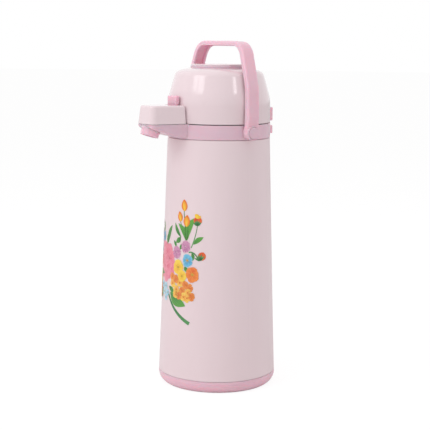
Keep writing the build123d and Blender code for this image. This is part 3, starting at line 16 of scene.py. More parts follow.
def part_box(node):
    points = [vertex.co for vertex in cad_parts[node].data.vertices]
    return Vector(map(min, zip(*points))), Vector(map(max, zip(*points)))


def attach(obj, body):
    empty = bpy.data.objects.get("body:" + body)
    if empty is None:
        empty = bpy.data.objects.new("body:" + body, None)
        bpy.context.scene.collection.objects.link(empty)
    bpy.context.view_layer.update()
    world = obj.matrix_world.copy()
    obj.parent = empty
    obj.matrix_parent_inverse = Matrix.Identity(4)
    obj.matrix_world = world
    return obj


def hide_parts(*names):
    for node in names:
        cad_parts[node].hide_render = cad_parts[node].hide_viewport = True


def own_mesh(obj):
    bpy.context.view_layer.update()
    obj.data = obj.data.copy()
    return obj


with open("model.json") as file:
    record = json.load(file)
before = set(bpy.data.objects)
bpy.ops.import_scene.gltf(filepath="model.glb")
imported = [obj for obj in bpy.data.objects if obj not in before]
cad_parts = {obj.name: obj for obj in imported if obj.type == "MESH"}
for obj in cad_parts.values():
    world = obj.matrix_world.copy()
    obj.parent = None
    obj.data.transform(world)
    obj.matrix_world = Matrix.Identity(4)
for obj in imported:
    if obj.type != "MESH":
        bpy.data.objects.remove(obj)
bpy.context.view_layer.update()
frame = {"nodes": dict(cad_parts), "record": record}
nodes = frame["nodes"]

MM = 0.001
WHITE = (1.0, 1.0, 1.0, 1.0)


# ---------------------------------------------------------------- camera and studio

VIEW_TURN = radians(56.0)  # bearing of the camera from the spout, towards +X
VIEW_DISTANCE = 1.3678
VIEW_HEIGHT = 0.4043
VIEW_DOWN = radians(8.57)
VIEW_ROLL = radians(0.55)
VIEW_STEP_LEFT = 0.0035
VIEW_LENS = 98.0

SURROUND = 0.66  # brightness of the room as it lights the pot; reflections see it white
FLOOR_R = 14.0
FLOOR_TONE = (0.88, 0.86, 0.86, 1.0)  # as it lights the pot
FLOOR_SHADOW = (0.16, 0.16, 0.16, 1.0)  # how much of a shadow the camera sees
FLOOR_GLOW = 0.88
ROOM_TONE = (1.0, 0.985, 0.985, 1.0)


def bearing_point(bearing, rise, distance, height=0.0):
    """A point at a bearing from the spout, an angle above the horizon and a distance."""
    return Vector(
        (
            sin(bearing) * cos(rise) * distance,
            -cos(bearing) * cos(rise) * distance,
            sin(rise) * distance + height,
        )
    )


def add_camera():
    data = bpy.data.cameras.new("view_camera")
    data.lens = VIEW_LENS
    camera = bpy.data.objects.new("view_camera", data)
    bpy.context.scene.collection.objects.link(camera)
    left = Vector((-cos(VIEW_TURN), -sin(VIEW_TURN), 0.0))
    place = bearing_point(VIEW_TURN, 0.0, VIEW_DISTANCE, VIEW_HEIGHT) + left * VIEW_STEP_LEFT
    camera.matrix_world = (
        Matrix.Translation(place)
        @ Matrix.Rotation(VIEW_TURN, 4, "Z")
        @ Matrix.Rotation(pi / 2 - VIEW_DOWN, 4, "X")
        @ Matrix.Rotation(VIEW_ROLL, 4, "Z")
    )
    bpy.context.scene.camera = camera


def add_soft_box(name, bearing, rise, distance, width, height, power, aim_height, mirrored=True):
    """A rectangular studio light that faces the pot, in watts; glossy surfaces may mirror it."""
    data = bpy.data.lights.new(name, "AREA")
    data.shape = "RECTANGLE"
    data.size, data.size_y, data.energy = width, height, power
    light = bpy.data.objects.new(name, data)
    light.visible_glossy = mirrored
    bpy.context.scene.collection.objects.link(light)
    aim = Vector((0.0, 0.0, aim_height))
    light.location = bearing_point(radians(bearing), radians(rise), distance, aim_height)
    light.rotation_euler = (light.location - aim).to_track_quat("Z", "Y").to_euler()


def add_floor():
    """A pale round floor, wide enough to run to the horizon from every side."""
    shape = bmesh.new()
    bmesh.ops.create_circle(shape, cap_ends=True, segments=96, radius=FLOOR_R)
    mesh = bpy.data.meshes.new("studio_floor")
    shape.to_mesh(mesh)
    shape.free()
    floor = bpy.data.objects.new("studio_floor", mesh)
    bpy.context.scene.collection.objects.link(floor)
    paint = bpy.data.materials.new("floor_paint")
    paint.use_nodes = True
    tree = paint.node_tree
    tree.nodes.clear()
    matt = tree.nodes.new("ShaderNodeBsdfDiffuse")
    matt.inputs["Color"].default_value = FLOOR_TONE
    seen_matt = tree.nodes.new("ShaderNodeBsdfDiffuse")
    seen_matt.inputs["Color"].default_value = FLOOR_SHADOW
    glow = tree.nodes.new("ShaderNodeEmission")
    glow.inputs["Color"].default_value = WHITE
    glow.inputs["Strength"].default_value = FLOOR_GLOW
    both = tree.nodes.new("ShaderNodeAddShader")
    pick = tree.nodes.new("ShaderNodeMixShader")
    path = tree.nodes.new("ShaderNodeLightPath")
    out = tree.nodes.new("ShaderNodeOutputMaterial")
    tree.links.new(seen_matt.outputs[0], both.inputs[0])
    tree.links.new(glow.outputs[0], both.inputs[1])
    tree.links.new(path.outputs["Is Camera Ray"], pick.inputs[0])
    tree.links.new(matt.outputs[0], pick.inputs[1])
    tree.links.new(both.outputs[0], pick.inputs[2])
    tree.links.new(pick.outputs[0], out.inputs["Surface"])
    mesh.materials.append(paint)


def add_surround():
    """An even pale room: white where it is seen or mirrored, softer where it lights the pot."""
    world = bpy.data.worlds.new("studio_room")
    bpy.context.scene.world = world
    world.use_nodes = True
    tree = world.node_tree
    tree.nodes.clear()
    seen = tree.nodes.new("ShaderNodeBackground")
    seen.inputs["Strength"].default_value = 1.0
    seen.inputs["Color"].default_value = WHITE
    lighting = tree.nodes.new("ShaderNodeBackground")
    lighting.inputs["Color"].default_value = ROOM_TONE
    lighting.inputs["Strength"].default_value = SURROUND
    pick = tree.nodes.new("ShaderNodeMixShader")
    path = tree.nodes.new("ShaderNodeLightPath")
    out = tree.nodes.new("ShaderNodeOutputWorld")
    white_for = tree.nodes.new("ShaderNodeMath")
    white_for.operation = "MAXIMUM"
    tree.links.new(path.outputs["Is Camera Ray"], white_for.inputs[0])
    tree.links.new(path.outputs["Is Glossy Ray"], white_for.inputs[1])
    tree.links.new(white_for.outputs[0], pick.inputs[0])
    tree.links.new(lighting.outputs[0], pick.inputs[1])
    tree.links.new(seen.outputs[0], pick.inputs[2])
    tree.links.new(pick.outputs[0], out.inputs["Surface"])


add_camera()
add_surround()
add_floor()
bpy.context.scene.view_settings.view_transform = "Standard"
LID_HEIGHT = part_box("lid_shell")[1].z
BODY_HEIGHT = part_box("outer_casing")[1].z * 0.6  # lights for the casing aim here
add_soft_box("window_pane_left", -6.4, 32.0, 1.7, 0.37, 0.54, 1.7, LID_HEIGHT)
add_soft_box("window_pane_right", 9.6, 32.0, 1.7, 0.40, 0.54, 1.8, LID_HEIGHT)
add_soft_box("strip_light", 95.5, 29.0, 1.8, 0.24, 0.36, 1.0, LID_HEIGHT)
add_soft_box("key_light", -8.0, 28.0, 1.7, 1.1, 1.1, 5.0, BODY_HEIGHT, mirrored=False)
add_soft_box("rim_light", 168.0, 8.0, 1.8, 0.7, 1.2, 2.5, BODY_HEIGHT, mirrored=False)
add_soft_box("top_light", 30.0, 80.0, 1.5, 1.2, 1.2, 5.0, LID_HEIGHT, mirrored=False)


# ---------------------------------------------------------------- shared node groups


def new_group(name, inputs, outputs):
    """An empty shader group with its named sockets, and its input and output nodes."""
    group = bpy.data.node_groups.new(name, "ShaderNodeTree")
    for label, kind, value in inputs:
        socket = group.interface.new_socket(label, in_out="INPUT", socket_type=kind)
        socket.default_value = value
    for label, kind in outputs:
        group.interface.new_socket(label, in_out="OUTPUT", socket_type=kind)
    return group, group.nodes.new("NodeGroupInput"), group.nodes.new("NodeGroupOutput")


COLOUR, NUMBER, VECTOR = "NodeSocketColor", "NodeSocketFloat", "NodeSocketVector"


def make_moulded_grain():
    """Fine tool grain over a slow waviness, as a normal."""
    group, given, out = new_group(
        "moulded_grain",
        [
            ("Grain Size", NUMBER, 1400.0),
            ("Grain Depth", NUMBER, 0.15),
            ("Waviness", NUMBER, 0.1),
            ("Normal", VECTOR, (0.0, 0.0, 0.0)),
        ],
        [("Normal", VECTOR)],
    )
    place = group.nodes.new("ShaderNodeTexCoord")
    grain = group.nodes.new("ShaderNodeTexNoise")
    grain.inputs["Detail"].default_value = 3.0
    wave = group.nodes.new("ShaderNodeTexNoise")
    wave.inputs["Scale"].default_value = 55.0
    wave.inputs["Detail"].default_value = 1.0
    fine = group.nodes.new("ShaderNodeBump")
    fine.inputs["Distance"].default_value = 0.00006
    slow = group.nodes.new("ShaderNodeBump")
    slow.inputs["Distance"].default_value = 0.0006
    link = group.links.new
    link(place.outputs["Object"], grain.inputs["Vector"])
    link(place.outputs["Object"], wave.inputs["Vector"])
    link(given.outputs["Grain Size"], grain.inputs["Scale"])
    link(given.outputs["Waviness"], slow.inputs["Strength"])
    link(given.outputs["Normal"], slow.inputs["Normal"])
    link(wave.outputs["Fac"], slow.inputs["Height"])
    link(given.outputs["Grain Depth"], fine.inputs["Strength"])
    link(grain.outputs["Fac"], fine.inputs["Height"])
    link(slow.outputs["Normal"], fine.inputs["Normal"])
    link(fine.outputs["Normal"], out.inputs["Normal"])
    return group


def make_soft_edges():
    """Rounds the look of sharp moulded edges, and gives a mask of where they are."""
    group, given, out = new_group(
        "soft_edges",
        [("Radius", NUMBER, 0.0005)],
        [("Normal", VECTOR), ("Edge", NUMBER)],
    )
    rounded = group.nodes.new("ShaderNodeBevel")
    rounded.samples = 4
    plain = group.nodes.new("ShaderNodeNewGeometry")
    compare = group.nodes.new("ShaderNodeVectorMath")
    compare.operation = "DOT_PRODUCT"
    mask = group.nodes.new("ShaderNodeMapRange")
    mask.inputs["From Min"].default_value = 0.995
    mask.inputs["From Max"].default_value = 0.80
    link = group.links.new
    link(given.outputs["Radius"], rounded.inputs["Radius"])
    link(rounded.outputs["Normal"], compare.inputs[0])
    link(plain.outputs["Normal"], compare.inputs[1])
    link(compare.outputs["Value"], mask.inputs["Value"])
    link(rounded.outputs["Normal"], out.inputs["Normal"])
    link(mask.outputs["Result"], out.inputs["Edge"])
    return group


def make_moulded_tone():
    """Base colour of a moulding: slow pigment flow, fine speckle and a painted highlight that makes
    sharp edges paler.
    """
    group, given, out = new_group(
        "moulded_tone",
        [
            ("Colour", COLOUR, WHITE),
            ("Flow Colour", COLOUR, WHITE),
            ("Edge Colour", COLOUR, WHITE),
            ("Edge", NUMBER, 0.0),
            ("Roughness", NUMBER, 0.3),
            ("Handling", NUMBER, 0.08),
        ],
        [("Colour", COLOUR), ("Roughness", NUMBER)],
    )
    place = group.nodes.new("ShaderNodeTexCoord")
    stretch = group.nodes.new("ShaderNodeMapping")
    stretch.inputs["Scale"].default_value = (1.0, 1.0, 0.35)
    flow = group.nodes.new("ShaderNodeTexNoise")
    flow.inputs["Scale"].default_value = 18.0
    flow.inputs["Detail"].default_value = 4.0
    flow.inputs["Roughness"].default_value = 0.6
    speck = group.nodes.new("ShaderNodeTexNoise")
    speck.inputs["Scale"].default_value = 900.0
    speck.inputs["Detail"].default_value = 2.0
    together = group.nodes.new("ShaderNodeMath")
    together.operation = "MULTIPLY_ADD"
    together.inputs[1].default_value = 0.22
    flowing = group.nodes.new("ShaderNodeMix")
    flowing.data_type = "RGBA"
    # Painted highlight: the edge mask pales sharp edges towards the edge colour, as if they caught
    # the light.
    edge_highlight_amount = group.nodes.new("ShaderNodeMath")
    edge_highlight_amount.operation = "MULTIPLY"
    edge_highlight_amount.inputs[1].default_value = 0.35
    edge_highlight = group.nodes.new("ShaderNodeMix")
    edge_highlight.data_type = "RGBA"
    touch = group.nodes.new("ShaderNodeTexNoise")
    touch.inputs["Scale"].default_value = 26.0
    touch.inputs["Detail"].default_value = 5.0
    centred = group.nodes.new("ShaderNodeMath")
    centred.operation = "SUBTRACT"
    centred.inputs[1].default_value = 0.5
    rough = group.nodes.new("ShaderNodeMath")
    rough.operation = "MULTIPLY_ADD"
    link = group.links.new
    link(place.outputs["Object"], stretch.inputs["Vector"])
    link(stretch.outputs["Vector"], flow.inputs["Vector"])
    link(place.outputs["Object"], speck.inputs["Vector"])
    link(place.outputs["Object"], touch.inputs["Vector"])
    link(speck.outputs["Fac"], together.inputs[0])
    link(flow.outputs["Fac"], together.inputs[2])
    link(together.outputs[0], flowing.inputs["Factor"])
    link(given.outputs["Colour"], flowing.inputs["A"])
    link(given.outputs["Flow Colour"], flowing.inputs["B"])
    link(given.outputs["Edge"], edge_highlight_amount.inputs[0])
    link(edge_highlight_amount.outputs[0], edge_highlight.inputs["Factor"])
    link(flowing.outputs["Result"], edge_highlight.inputs["A"])
    link(given.outputs["Edge Colour"], edge_highlight.inputs["B"])
    link(edge_highlight.outputs["Result"], out.inputs["Colour"])
    link(touch.outputs["Fac"], centred.inputs[0])
    link(centred.outputs[0], rough.inputs[0])
    link(given.outputs["Handling"], rough.inputs[1])
    link(given.outputs["Roughness"], rough.inputs[2])
    link(rough.outputs[0], out.inputs["Roughness"])
    return group


def make_drawn_metal():
    """Draw lines along Z, with a little staining, for wire, tube and screws."""
    group, given, out = new_group(
        "drawn_metal",
        [
            ("Colour", COLOUR, WHITE),
            ("Stain", COLOUR, WHITE),
            ("Line Size", NUMBER, 2500.0),
            ("Roughness", NUMBER, 0.25),
        ],
        [("Colour", COLOUR), ("Roughness", NUMBER), ("Normal", VECTOR)],
    )
    place = group.nodes.new("ShaderNodeTexCoord")
    stretch = group.nodes.new("ShaderNodeMapping")
    stretch.inputs["Scale"].default_value = (1.0, 1.0, 0.04)
    lines = group.nodes.new("ShaderNodeTexNoise")
    lines.inputs["Detail"].default_value = 4.0
    blotch = group.nodes.new("ShaderNodeTexNoise")
    blotch.inputs["Scale"].default_value = 120.0
    blotch.inputs["Detail"].default_value = 5.0
    patchy = group.nodes.new("ShaderNodeMapRange")
    patchy.inputs["From Min"].default_value = 0.45
    patchy.inputs["From Max"].default_value = 0.75
    tint = group.nodes.new("ShaderNodeMix")
    tint.data_type = "RGBA"
    rough = group.nodes.new("ShaderNodeMath")
    rough.operation = "MULTIPLY_ADD"
    rough.inputs[1].default_value = 0.18
    relief = group.nodes.new("ShaderNodeBump")
    relief.inputs["Strength"].default_value = 0.25
    relief.inputs["Distance"].default_value = 0.00004
    link = group.links.new
    link(place.outputs["Object"], stretch.inputs["Vector"])
    link(stretch.outputs["Vector"], lines.inputs["Vector"])
    link(given.outputs["Line Size"], lines.inputs["Scale"])
    link(place.outputs["Object"], blotch.inputs["Vector"])
    link(blotch.outputs["Fac"], patchy.inputs["Value"])
    link(patchy.outputs["Result"], tint.inputs["Factor"])
    link(given.outputs["Colour"], tint.inputs["A"])
    link(given.outputs["Stain"], tint.inputs["B"])
    link(lines.outputs["Fac"], rough.inputs[0])
    link(given.outputs["Roughness"], rough.inputs[2])
    link(lines.outputs["Fac"], relief.inputs["Height"])
    link(tint.outputs["Result"], out.inputs["Colour"])
    link(rough.outputs[0], out.inputs["Roughness"])
    link(relief.outputs["Normal"], out.inputs["Normal"])
    return group


def make_petal_ink():
    """Printed ink that goes from a heart colour to a rim colour, with veins along the petal."""
    group, given, out = new_group(
        "petal_ink",
        [
            ("Heart", COLOUR, WHITE),
            ("Rim", COLOUR, WHITE),
            ("Vein", COLOUR, WHITE),
            ("Vein Amount", NUMBER, 0.5),
            ("Rim Reach", NUMBER, 1.6),
        ],
        [("Colour", COLOUR)],
    )

    def attribute(name):
        node = group.nodes.new("ShaderNodeAttribute")
        node.attribute_name = name
        return node.outputs["Fac"]

    def maths(operation, first, second):
        node = group.nodes.new("ShaderNodeMath")
        node.operation = operation
        node.use_clamp = operation == "ADD"
        for socket, value in zip(node.inputs, (first, second)):
            if isinstance(value, (int, float)):
                socket.default_value = value
            else:
                group.links.new(value, socket)
        return node.outputs[0]

    along, across, tint = attribute("along"), attribute("across"), attribute("tint")
    outward = maths("MAXIMUM", along, maths("ABSOLUTE", across, 0.0))
    edge = maths("POWER", outward, given.outputs["Rim Reach"])
    shade = group.nodes.new("ShaderNodeMix")
    shade.data_type = "RGBA"
    wander = maths("MULTIPLY", maths("SUBTRACT", tint, 0.5), 0.9)
    group.links.new(maths("ADD", edge, wander), shade.inputs["Factor"])
    group.links.new(given.outputs["Heart"], shade.inputs["A"])
    group.links.new(given.outputs["Rim"], shade.inputs["B"])
    place = group.nodes.new("ShaderNodeTexCoord")
    brush = group.nodes.new("ShaderNodeTexNoise")
    brush.inputs["Scale"].default_value = 700.0
    brush.inputs["Detail"].default_value = 3.0
    group.links.new(place.outputs["Object"], brush.inputs["Vector"])
    ribs = maths("SINE", maths("MULTIPLY", maths("ADD", across, 1.0), 19.0), 0.0)
    fine_ribs = maths("ADD", maths("MULTIPLY", ribs, 0.5), 0.1)
    streak = maths("MULTIPLY", fine_ribs, brush.outputs["Fac"])
    strength = maths("MULTIPLY", maths("MULTIPLY", streak, given.outputs["Vein Amount"]), 1.6)
    veined = group.nodes.new("ShaderNodeMix")
    veined.data_type = "RGBA"
    group.links.new(strength, veined.inputs["Factor"])
    group.links.new(shade.outputs["Result"], veined.inputs["A"])
    group.links.new(given.outputs["Vein"], veined.inputs["B"])
    group.links.new(veined.outputs["Result"], out.inputs["Colour"])
    return group


MOULDED_GRAIN = make_moulded_grain()
SOFT_EDGES = make_soft_edges()
MOULDED_TONE = make_moulded_tone()
DRAWN_METAL = make_drawn_metal()
PETAL_INK = make_petal_ink()


# ---------------------------------------------------------------- finishes


def opaque(colour):
    return (*colour, 1.0)


def new_finish(name):
    """An empty material with its Principled shader."""
    finish = bpy.data.materials.new(name)
    finish.use_nodes = True
    tree = finish.node_tree
    return finish, tree, tree.nodes["Principled BSDF"]


def place_group(tree, group, **values):
    node = tree.nodes.new("ShaderNodeGroup")
    node.node_tree = group
    for label, value in values.items():
        node.inputs[label.replace("_", " ")].default_value = value
    return node


def moulding(
    name,
    colour,
    flow,
    # edge: the colour of a painted highlight that makes sharp edges paler
    edge,
    roughness,
    grain_depth=0.12,
    grain_size=1400.0,
    waviness=0.06,
    handling=0.08,
    edge_radius=0.0005,
    **shader_values,
):
    """A moulded plastic or rubber: pigment flow, tool grain, softened edges with a painted
    highlight along them, and handling marks.
    """
    finish, tree, shader = new_finish(name)
    edges = place_group(tree, SOFT_EDGES, Radius=edge_radius)
    tone = place_group(
        tree,
        MOULDED_TONE,
        Colour=opaque(colour),
        Flow_Colour=opaque(flow),
        Edge_Colour=opaque(edge),
        Roughness=roughness,
        Handling=handling,
    )
    grain = place_group(
        tree, MOULDED_GRAIN, Grain_Size=grain_size, Grain_Depth=grain_depth, Waviness=waviness
    )
    tree.links.new(edges.outputs["Normal"], grain.inputs["Normal"])
    tree.links.new(edges.outputs["Edge"], tone.inputs["Edge"])
    tree.links.new(tone.outputs["Colour"], shader.inputs["Base Color"])
    tree.links.new(tone.outputs["Roughness"], shader.inputs["Roughness"])
    tree.links.new(grain.outputs["Normal"], shader.inputs["Normal"])
    for label, value in shader_values.items():
        shader.inputs[label.replace("_", " ")].default_value = value
    return finish


def metal(name, colour, stain, roughness, line_size=2500.0):
    finish, tree, shader = new_finish(name)
    drawn = place_group(
        tree,
        DRAWN_METAL,
        Colour=opaque(colour),
        Stain=opaque(stain),
        Line_Size=line_size,
        Roughness=roughness,
    )
    shader.inputs["Metallic"].default_value = 1.0
    tree.links.new(drawn.outputs["Colour"], shader.inputs["Base Color"])
    tree.links.new(drawn.outputs["Roughness"], shader.inputs["Roughness"])
    tree.links.new(drawn.outputs["Normal"], shader.inputs["Normal"])
    return finish


def ink(name, heart, rim, vein, vein_amount=0.5, rim_reach=1.6):
    """One printed colour of the bouquet, under the casing's own satin lacquer."""
    finish, tree, shader = new_finish(name)
    petal = place_group(
        tree,
        PETAL_INK,
        Heart=opaque(heart),
        Rim=opaque(rim),
        Vein=opaque(vein),
        Vein_Amount=vein_amount,
        Rim_Reach=rim_reach,
    )
    grain = place_group(tree, MOULDED_GRAIN, Grain_Size=1600.0, Grain_Depth=0.10, Waviness=0.02)
    tree.links.new(petal.outputs["Colour"], shader.inputs["Base Color"])
    tree.links.new(grain.outputs["Normal"], shader.inputs["Normal"])
    shader.inputs["Roughness"].default_value = 0.36
    shader.inputs["Coat Weight"].default_value = 0.15
    shader.inputs["Coat Roughness"].default_value = 0.25
    return finish


# The third colour of each moulding is a painted highlight that pales its sharp edges.
finishes = {
    "pale_gloss": moulding(
        "pale_gloss_plastic",
        (0.835, 0.710, 0.738),
        (0.80, 0.650, 0.685),
        (0.92, 0.84, 0.86),
        0.13,
        grain_depth=0.02,
        waviness=0.05,
        handling=0.05,
        Coat_Weight=0.5,
        Coat_Roughness=0.04,
    ),
    "pale_satin": moulding(
        "pale_satin_lacquer",
        (0.835, 0.710, 0.738),
        (0.80, 0.655, 0.685),
        (0.92, 0.84, 0.86),
        0.38,
        grain_depth=0.14,
        grain_size=1700.0,
        waviness=0.03,
        handling=0.10,
        Coat_Weight=0.12,
        Coat_Roughness=0.30,
    ),
    "pink_plastic": moulding(
        "pink_moulded_plastic",
        (0.88, 0.565, 0.650),
        (0.85, 0.520, 0.610),
        (0.93, 0.70, 0.77),
        0.30,
        grain_depth=0.10,
        waviness=0.05,
        handling=0.10,
        Coat_Weight=0.15,
        Coat_Roughness=0.15,
        Subsurface_Weight=0.5,
        Subsurface_Radius=(1.0, 0.32, 0.42),
        Subsurface_Scale=0.010,
    ),
    "white_plastic": moulding(
        "white_inner_plastic",
        (0.82, 0.81, 0.78),
        (0.78, 0.76, 0.72),
        (0.90, 0.89, 0.87),
        0.42,
        grain_depth=0.18,
    ),
    "silicone": moulding(
        "milky_silicone",
        (0.78, 0.77, 0.73),
        (0.72, 0.71, 0.66),
        (0.85, 0.84, 0.80),
        0.55,
        grain_depth=0.25,
        grain_size=900.0,
        Sheen_Weight=0.25,
        Sheen_Roughness=0.5,
    ),
    "bellows_rubber": moulding(
        "grey_bellows_rubber",
        (0.50, 0.485, 0.470),
        (0.42, 0.405, 0.390),
        (0.62, 0.61, 0.59),
        0.62,
        grain_depth=0.30,
        grain_size=700.0,
        handling=0.15,
        Sheen_Weight=0.35,
        Sheen_Roughness=0.4,
    ),
    "steel": metal("drawn_steel", (0.72, 0.72, 0.73), (0.58, 0.57, 0.56), 0.18),
    "zinc_steel": metal("zinc_plated_steel", (0.66, 0.68, 0.70), (0.50, 0.52, 0.50), 0.32, 900.0),
}


def silvered_glass():
    """Mirror silvering seen through glass, with faint drips from the silvering bath."""
    finish, tree, shader = new_finish("silvered_flask_glass")
    bath = place_group(
        tree,
        DRAWN_METAL,
        Colour=opaque((0.84, 0.86, 0.88)),
        Stain=opaque((0.72, 0.74, 0.74)),
        Line_Size=180.0,
        Roughness=0.01,
    )
    shader.inputs["Metallic"].default_value = 1.0
    shader.inputs["Coat Weight"].default_value = 1.0
    shader.inputs["Coat Roughness"].default_value = 0.02
    tree.links.new(bath.outputs["Colour"], shader.inputs["Base Color"])
    tree.links.new(bath.outputs["Roughness"], shader.inputs["Roughness"])
    return finish


def clear_plastic():
    """Translucent natural plastic of the delivery tube."""
    finish, tree, shader = new_finish("translucent_tube_plastic")
    tone = place_group(
        tree,
        MOULDED_TONE,
        Colour=opaque((0.90, 0.91, 0.89)),
        Flow_Colour=opaque((0.84, 0.86, 0.84)),
        Edge_Colour=opaque((0.95, 0.95, 0.94)),
        Roughness=0.28,
        Handling=0.12,
    )
    shader.inputs["Transmission Weight"].default_value = 0.65
    shader.inputs["IOR"].default_value = 1.46
    tree.links.new(tone.outputs["Colour"], shader.inputs["Base Color"])
    tree.links.new(tone.outputs["Roughness"], shader.inputs["Roughness"])
    return finish


finishes["silvered_glass"] = silvered_glass()
finishes["clear_plastic"] = clear_plastic()
slot_of = {part["node"]: part["material_slot"] for part in frame["record"]["subparts"]}

for name, slot in slot_of.items():
    node, finish = nodes[name], finishes[slot]
    if not node.material_slots:
        node.data.materials.append(finish)
    for held in node.material_slots:
        held.material = finish


# ---------------------------------------------------------------- the printed bouquet

# The print is drawn flat, in millimetres: across from the middle of the spout towards +X, and up
# from the table. It is then laid on the casing, each ink a hair above the one before.
PRINT_R = 65.0  # casing radius at the middle of the print
PRINT_RISE = 23.6  # where the print's own zero lies above the table
PRINT_HEIGHT_SCALE = 0.922  # the drawing is a little taller than the print
PRINT_TURN = 2.4  # how far the print is shifted round towards +X
INK_BASE = 0.10  # the lowest ink stands this far off the casing
INK_STEP = 0.035
SMALL_FLOWER_EYE = 2.2
PETAL_ROWS, PETAL_COLUMNS = 8, 6
STEM_ROWS = 20
chance = random.Random(11)

casing = nodes["outer_casing"].data
casing_skin = BVHTree.FromPolygons(
    [v.co for v in casing.vertices], [p.vertices for p in casing.polygons]
)
OUTSIDE = 0.2


def new_print():
    """A flat bmesh with the values that the inks read."""
    flat = bmesh.new()
    for label in ("along", "across", "tint"):
        flat.verts.layers.float.new(label)
    return flat


def blade(
    flat, base, tip, width, bow=0.0, belly=0.5, fullness=1.0, layer=0, tint=0.5, rows=PETAL_ROWS
):
    """One leaf or petal: its middle line bows from base to tip, and it is widest at the belly.

    fullness is 1 for a pointed leaf, about a half for a round petal and 0 for a strip.
    """
    start, end = Vector(base), Vector(tip)
    run = end - start
    side = Vector((-run.y, run.x)).normalized()
    crest = log(0.5) / log(belly)
    values = {k: flat.verts.layers.float[k] for k in ("along", "across", "tint")}
    made = bmesh.ops.create_grid(flat, x_segments=PETAL_COLUMNS, y_segments=rows, size=0.5)
    for v in made["verts"]:
        across, along = 2 * v.co.x, v.co.y + 0.5
        half = width / 2 * max(sin(pi * along**crest), 0.0) ** fullness
        point = start + run * along + side * (bow * sin(pi * along) + across * half)
        v.co = (point.x, point.y, INK_BASE + layer * INK_STEP)
        v[values["along"]], v[values["across"]], v[values["tint"]] = along, across, tint


def strip(flat, base, turn, tip, start_width, end_width, layer=0, tint=0.5):
    """A stem: a strip that curves from base to tip, drawn towards the turn, and tapers."""
    values = {k: flat.verts.layers.float[k] for k in ("along", "across", "tint")}
    a, b, c = Vector(base), Vector(turn), Vector(tip)
    made = bmesh.ops.create_grid(flat, x_segments=2, y_segments=STEM_ROWS, size=0.5)
    for v in made["verts"]:
        across, along = 2 * v.co.x, v.co.y + 0.5
        back = 1 - along
        middle = a * back**2 + b * 2 * along * back + c * along**2
        heading = ((b - a) * back + (c - b) * along).normalized()
        half = (start_width * back + end_width * along) / 2
        point = middle + Vector((-heading.y, heading.x)) * across * half
        v.co = (point.x, point.y, INK_BASE + layer * INK_STEP)
        v[values["along"]], v[values["across"]], v[values["tint"]] = along, across, tint


def bloom(
    flat,
    centre,
    radius,
    count,
    width,
    turn=0.0,
    hollow=0.1,
    layer=0,
    tints=(0.3, 0.7),
    fullness=0.5,
    belly=0.62,
    squash=1.0,
):
    """A ring of petals round a centre. squash narrows the ring across the print."""
    middle = Vector(centre)
    for k in range(count):
        angle = radians(turn) + 2 * pi * k / count
        reach = radius * chance.uniform(0.9, 1.05)
        out = Vector((cos(angle) * squash, sin(angle)))
        blade(
            flat,
            middle + out * radius * hollow,
            middle + out * reach,
            width * chance.uniform(0.9, 1.1),
            bow=chance.uniform(-0.06, 0.06) * radius,
            belly=belly,
            fullness=fullness,
            layer=layer + k % 2,
            tint=chance.uniform(*tints),
        )


def dot(flat, centre, size, layer, tint=0.5):
    """A round spot."""
    middle = Vector(centre)
    half = Vector((0.0, size / 2))
    blade(flat, middle - half, middle + half, size, fullness=0.5, layer=layer, tint=tint)


def lay_on_casing(flat, name, finish):
    """Wraps a flat print on the casing and makes it a piece that rides with the pot."""
    bmesh.ops.remove_doubles(flat, verts=flat.verts, dist=0.0005)
    for v in flat.verts:
        angle = (v.co.x + PRINT_TURN) / PRINT_R
        out = Vector((sin(angle), -cos(angle), 0.0))
        height = (v.co.y * PRINT_HEIGHT_SCALE + PRINT_RISE) * MM
        origin = out * OUTSIDE + Vector((0.0, 0.0, height))
        skin = casing_skin.ray_cast(origin, -out)[0]
        v.co = skin + out * v.co.z * MM
    bmesh.ops.recalc_face_normals(flat, faces=flat.faces)
    for face in flat.faces:
        face.smooth = True
        middle = face.calc_center_median()
        if face.normal.dot(Vector((middle.x, middle.y, 0.0))) < 0:
            face.normal_flip()
    mesh = bpy.data.meshes.new(name)
    flat.to_mesh(mesh)
    flat.free()
    mesh.materials.append(finish)
    piece = bpy.data.objects.new(name, mesh)
    bpy.context.scene.collection.objects.link(piece)
    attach(piece, "pot")
    return piece


def tulip_buds():
    """Three orange and yellow buds at the top of the bouquet."""
    flat = new_print()
    for (x, z), height, width, lean in (
        ((18.0, 209.0), 15.0, 9.0, -1.0),
        ((11.8, 194.5), 13.0, 7.6, -2.4),
        ((22.0, 190.0), 15.0, 9.4, 1.2),
    ):
        low, high = (x - lean / 2, z - height / 2), (x + lean / 2, z + height / 2)
        blade(flat, low, high, width, fullness=0.7, belly=0.45, layer=5, tint=0.75)
        inner_low, inner_high = (low[0] + 0.4, low[1] + 0.4), (high[0] - 0.8, high[1] - 1.6)
        blade(flat, inner_low, inner_high, width * 0.52, fullness=0.8, layer=6, tint=0.25)
    lay_on_casing(
        flat,
        "printed_tulip_buds",
        ink("tulip_ink", (0.93, 0.60, 0.05), (0.80, 0.17, 0.02), (0.90, 0.38, 0.03), 0.6, 1.5),
    )


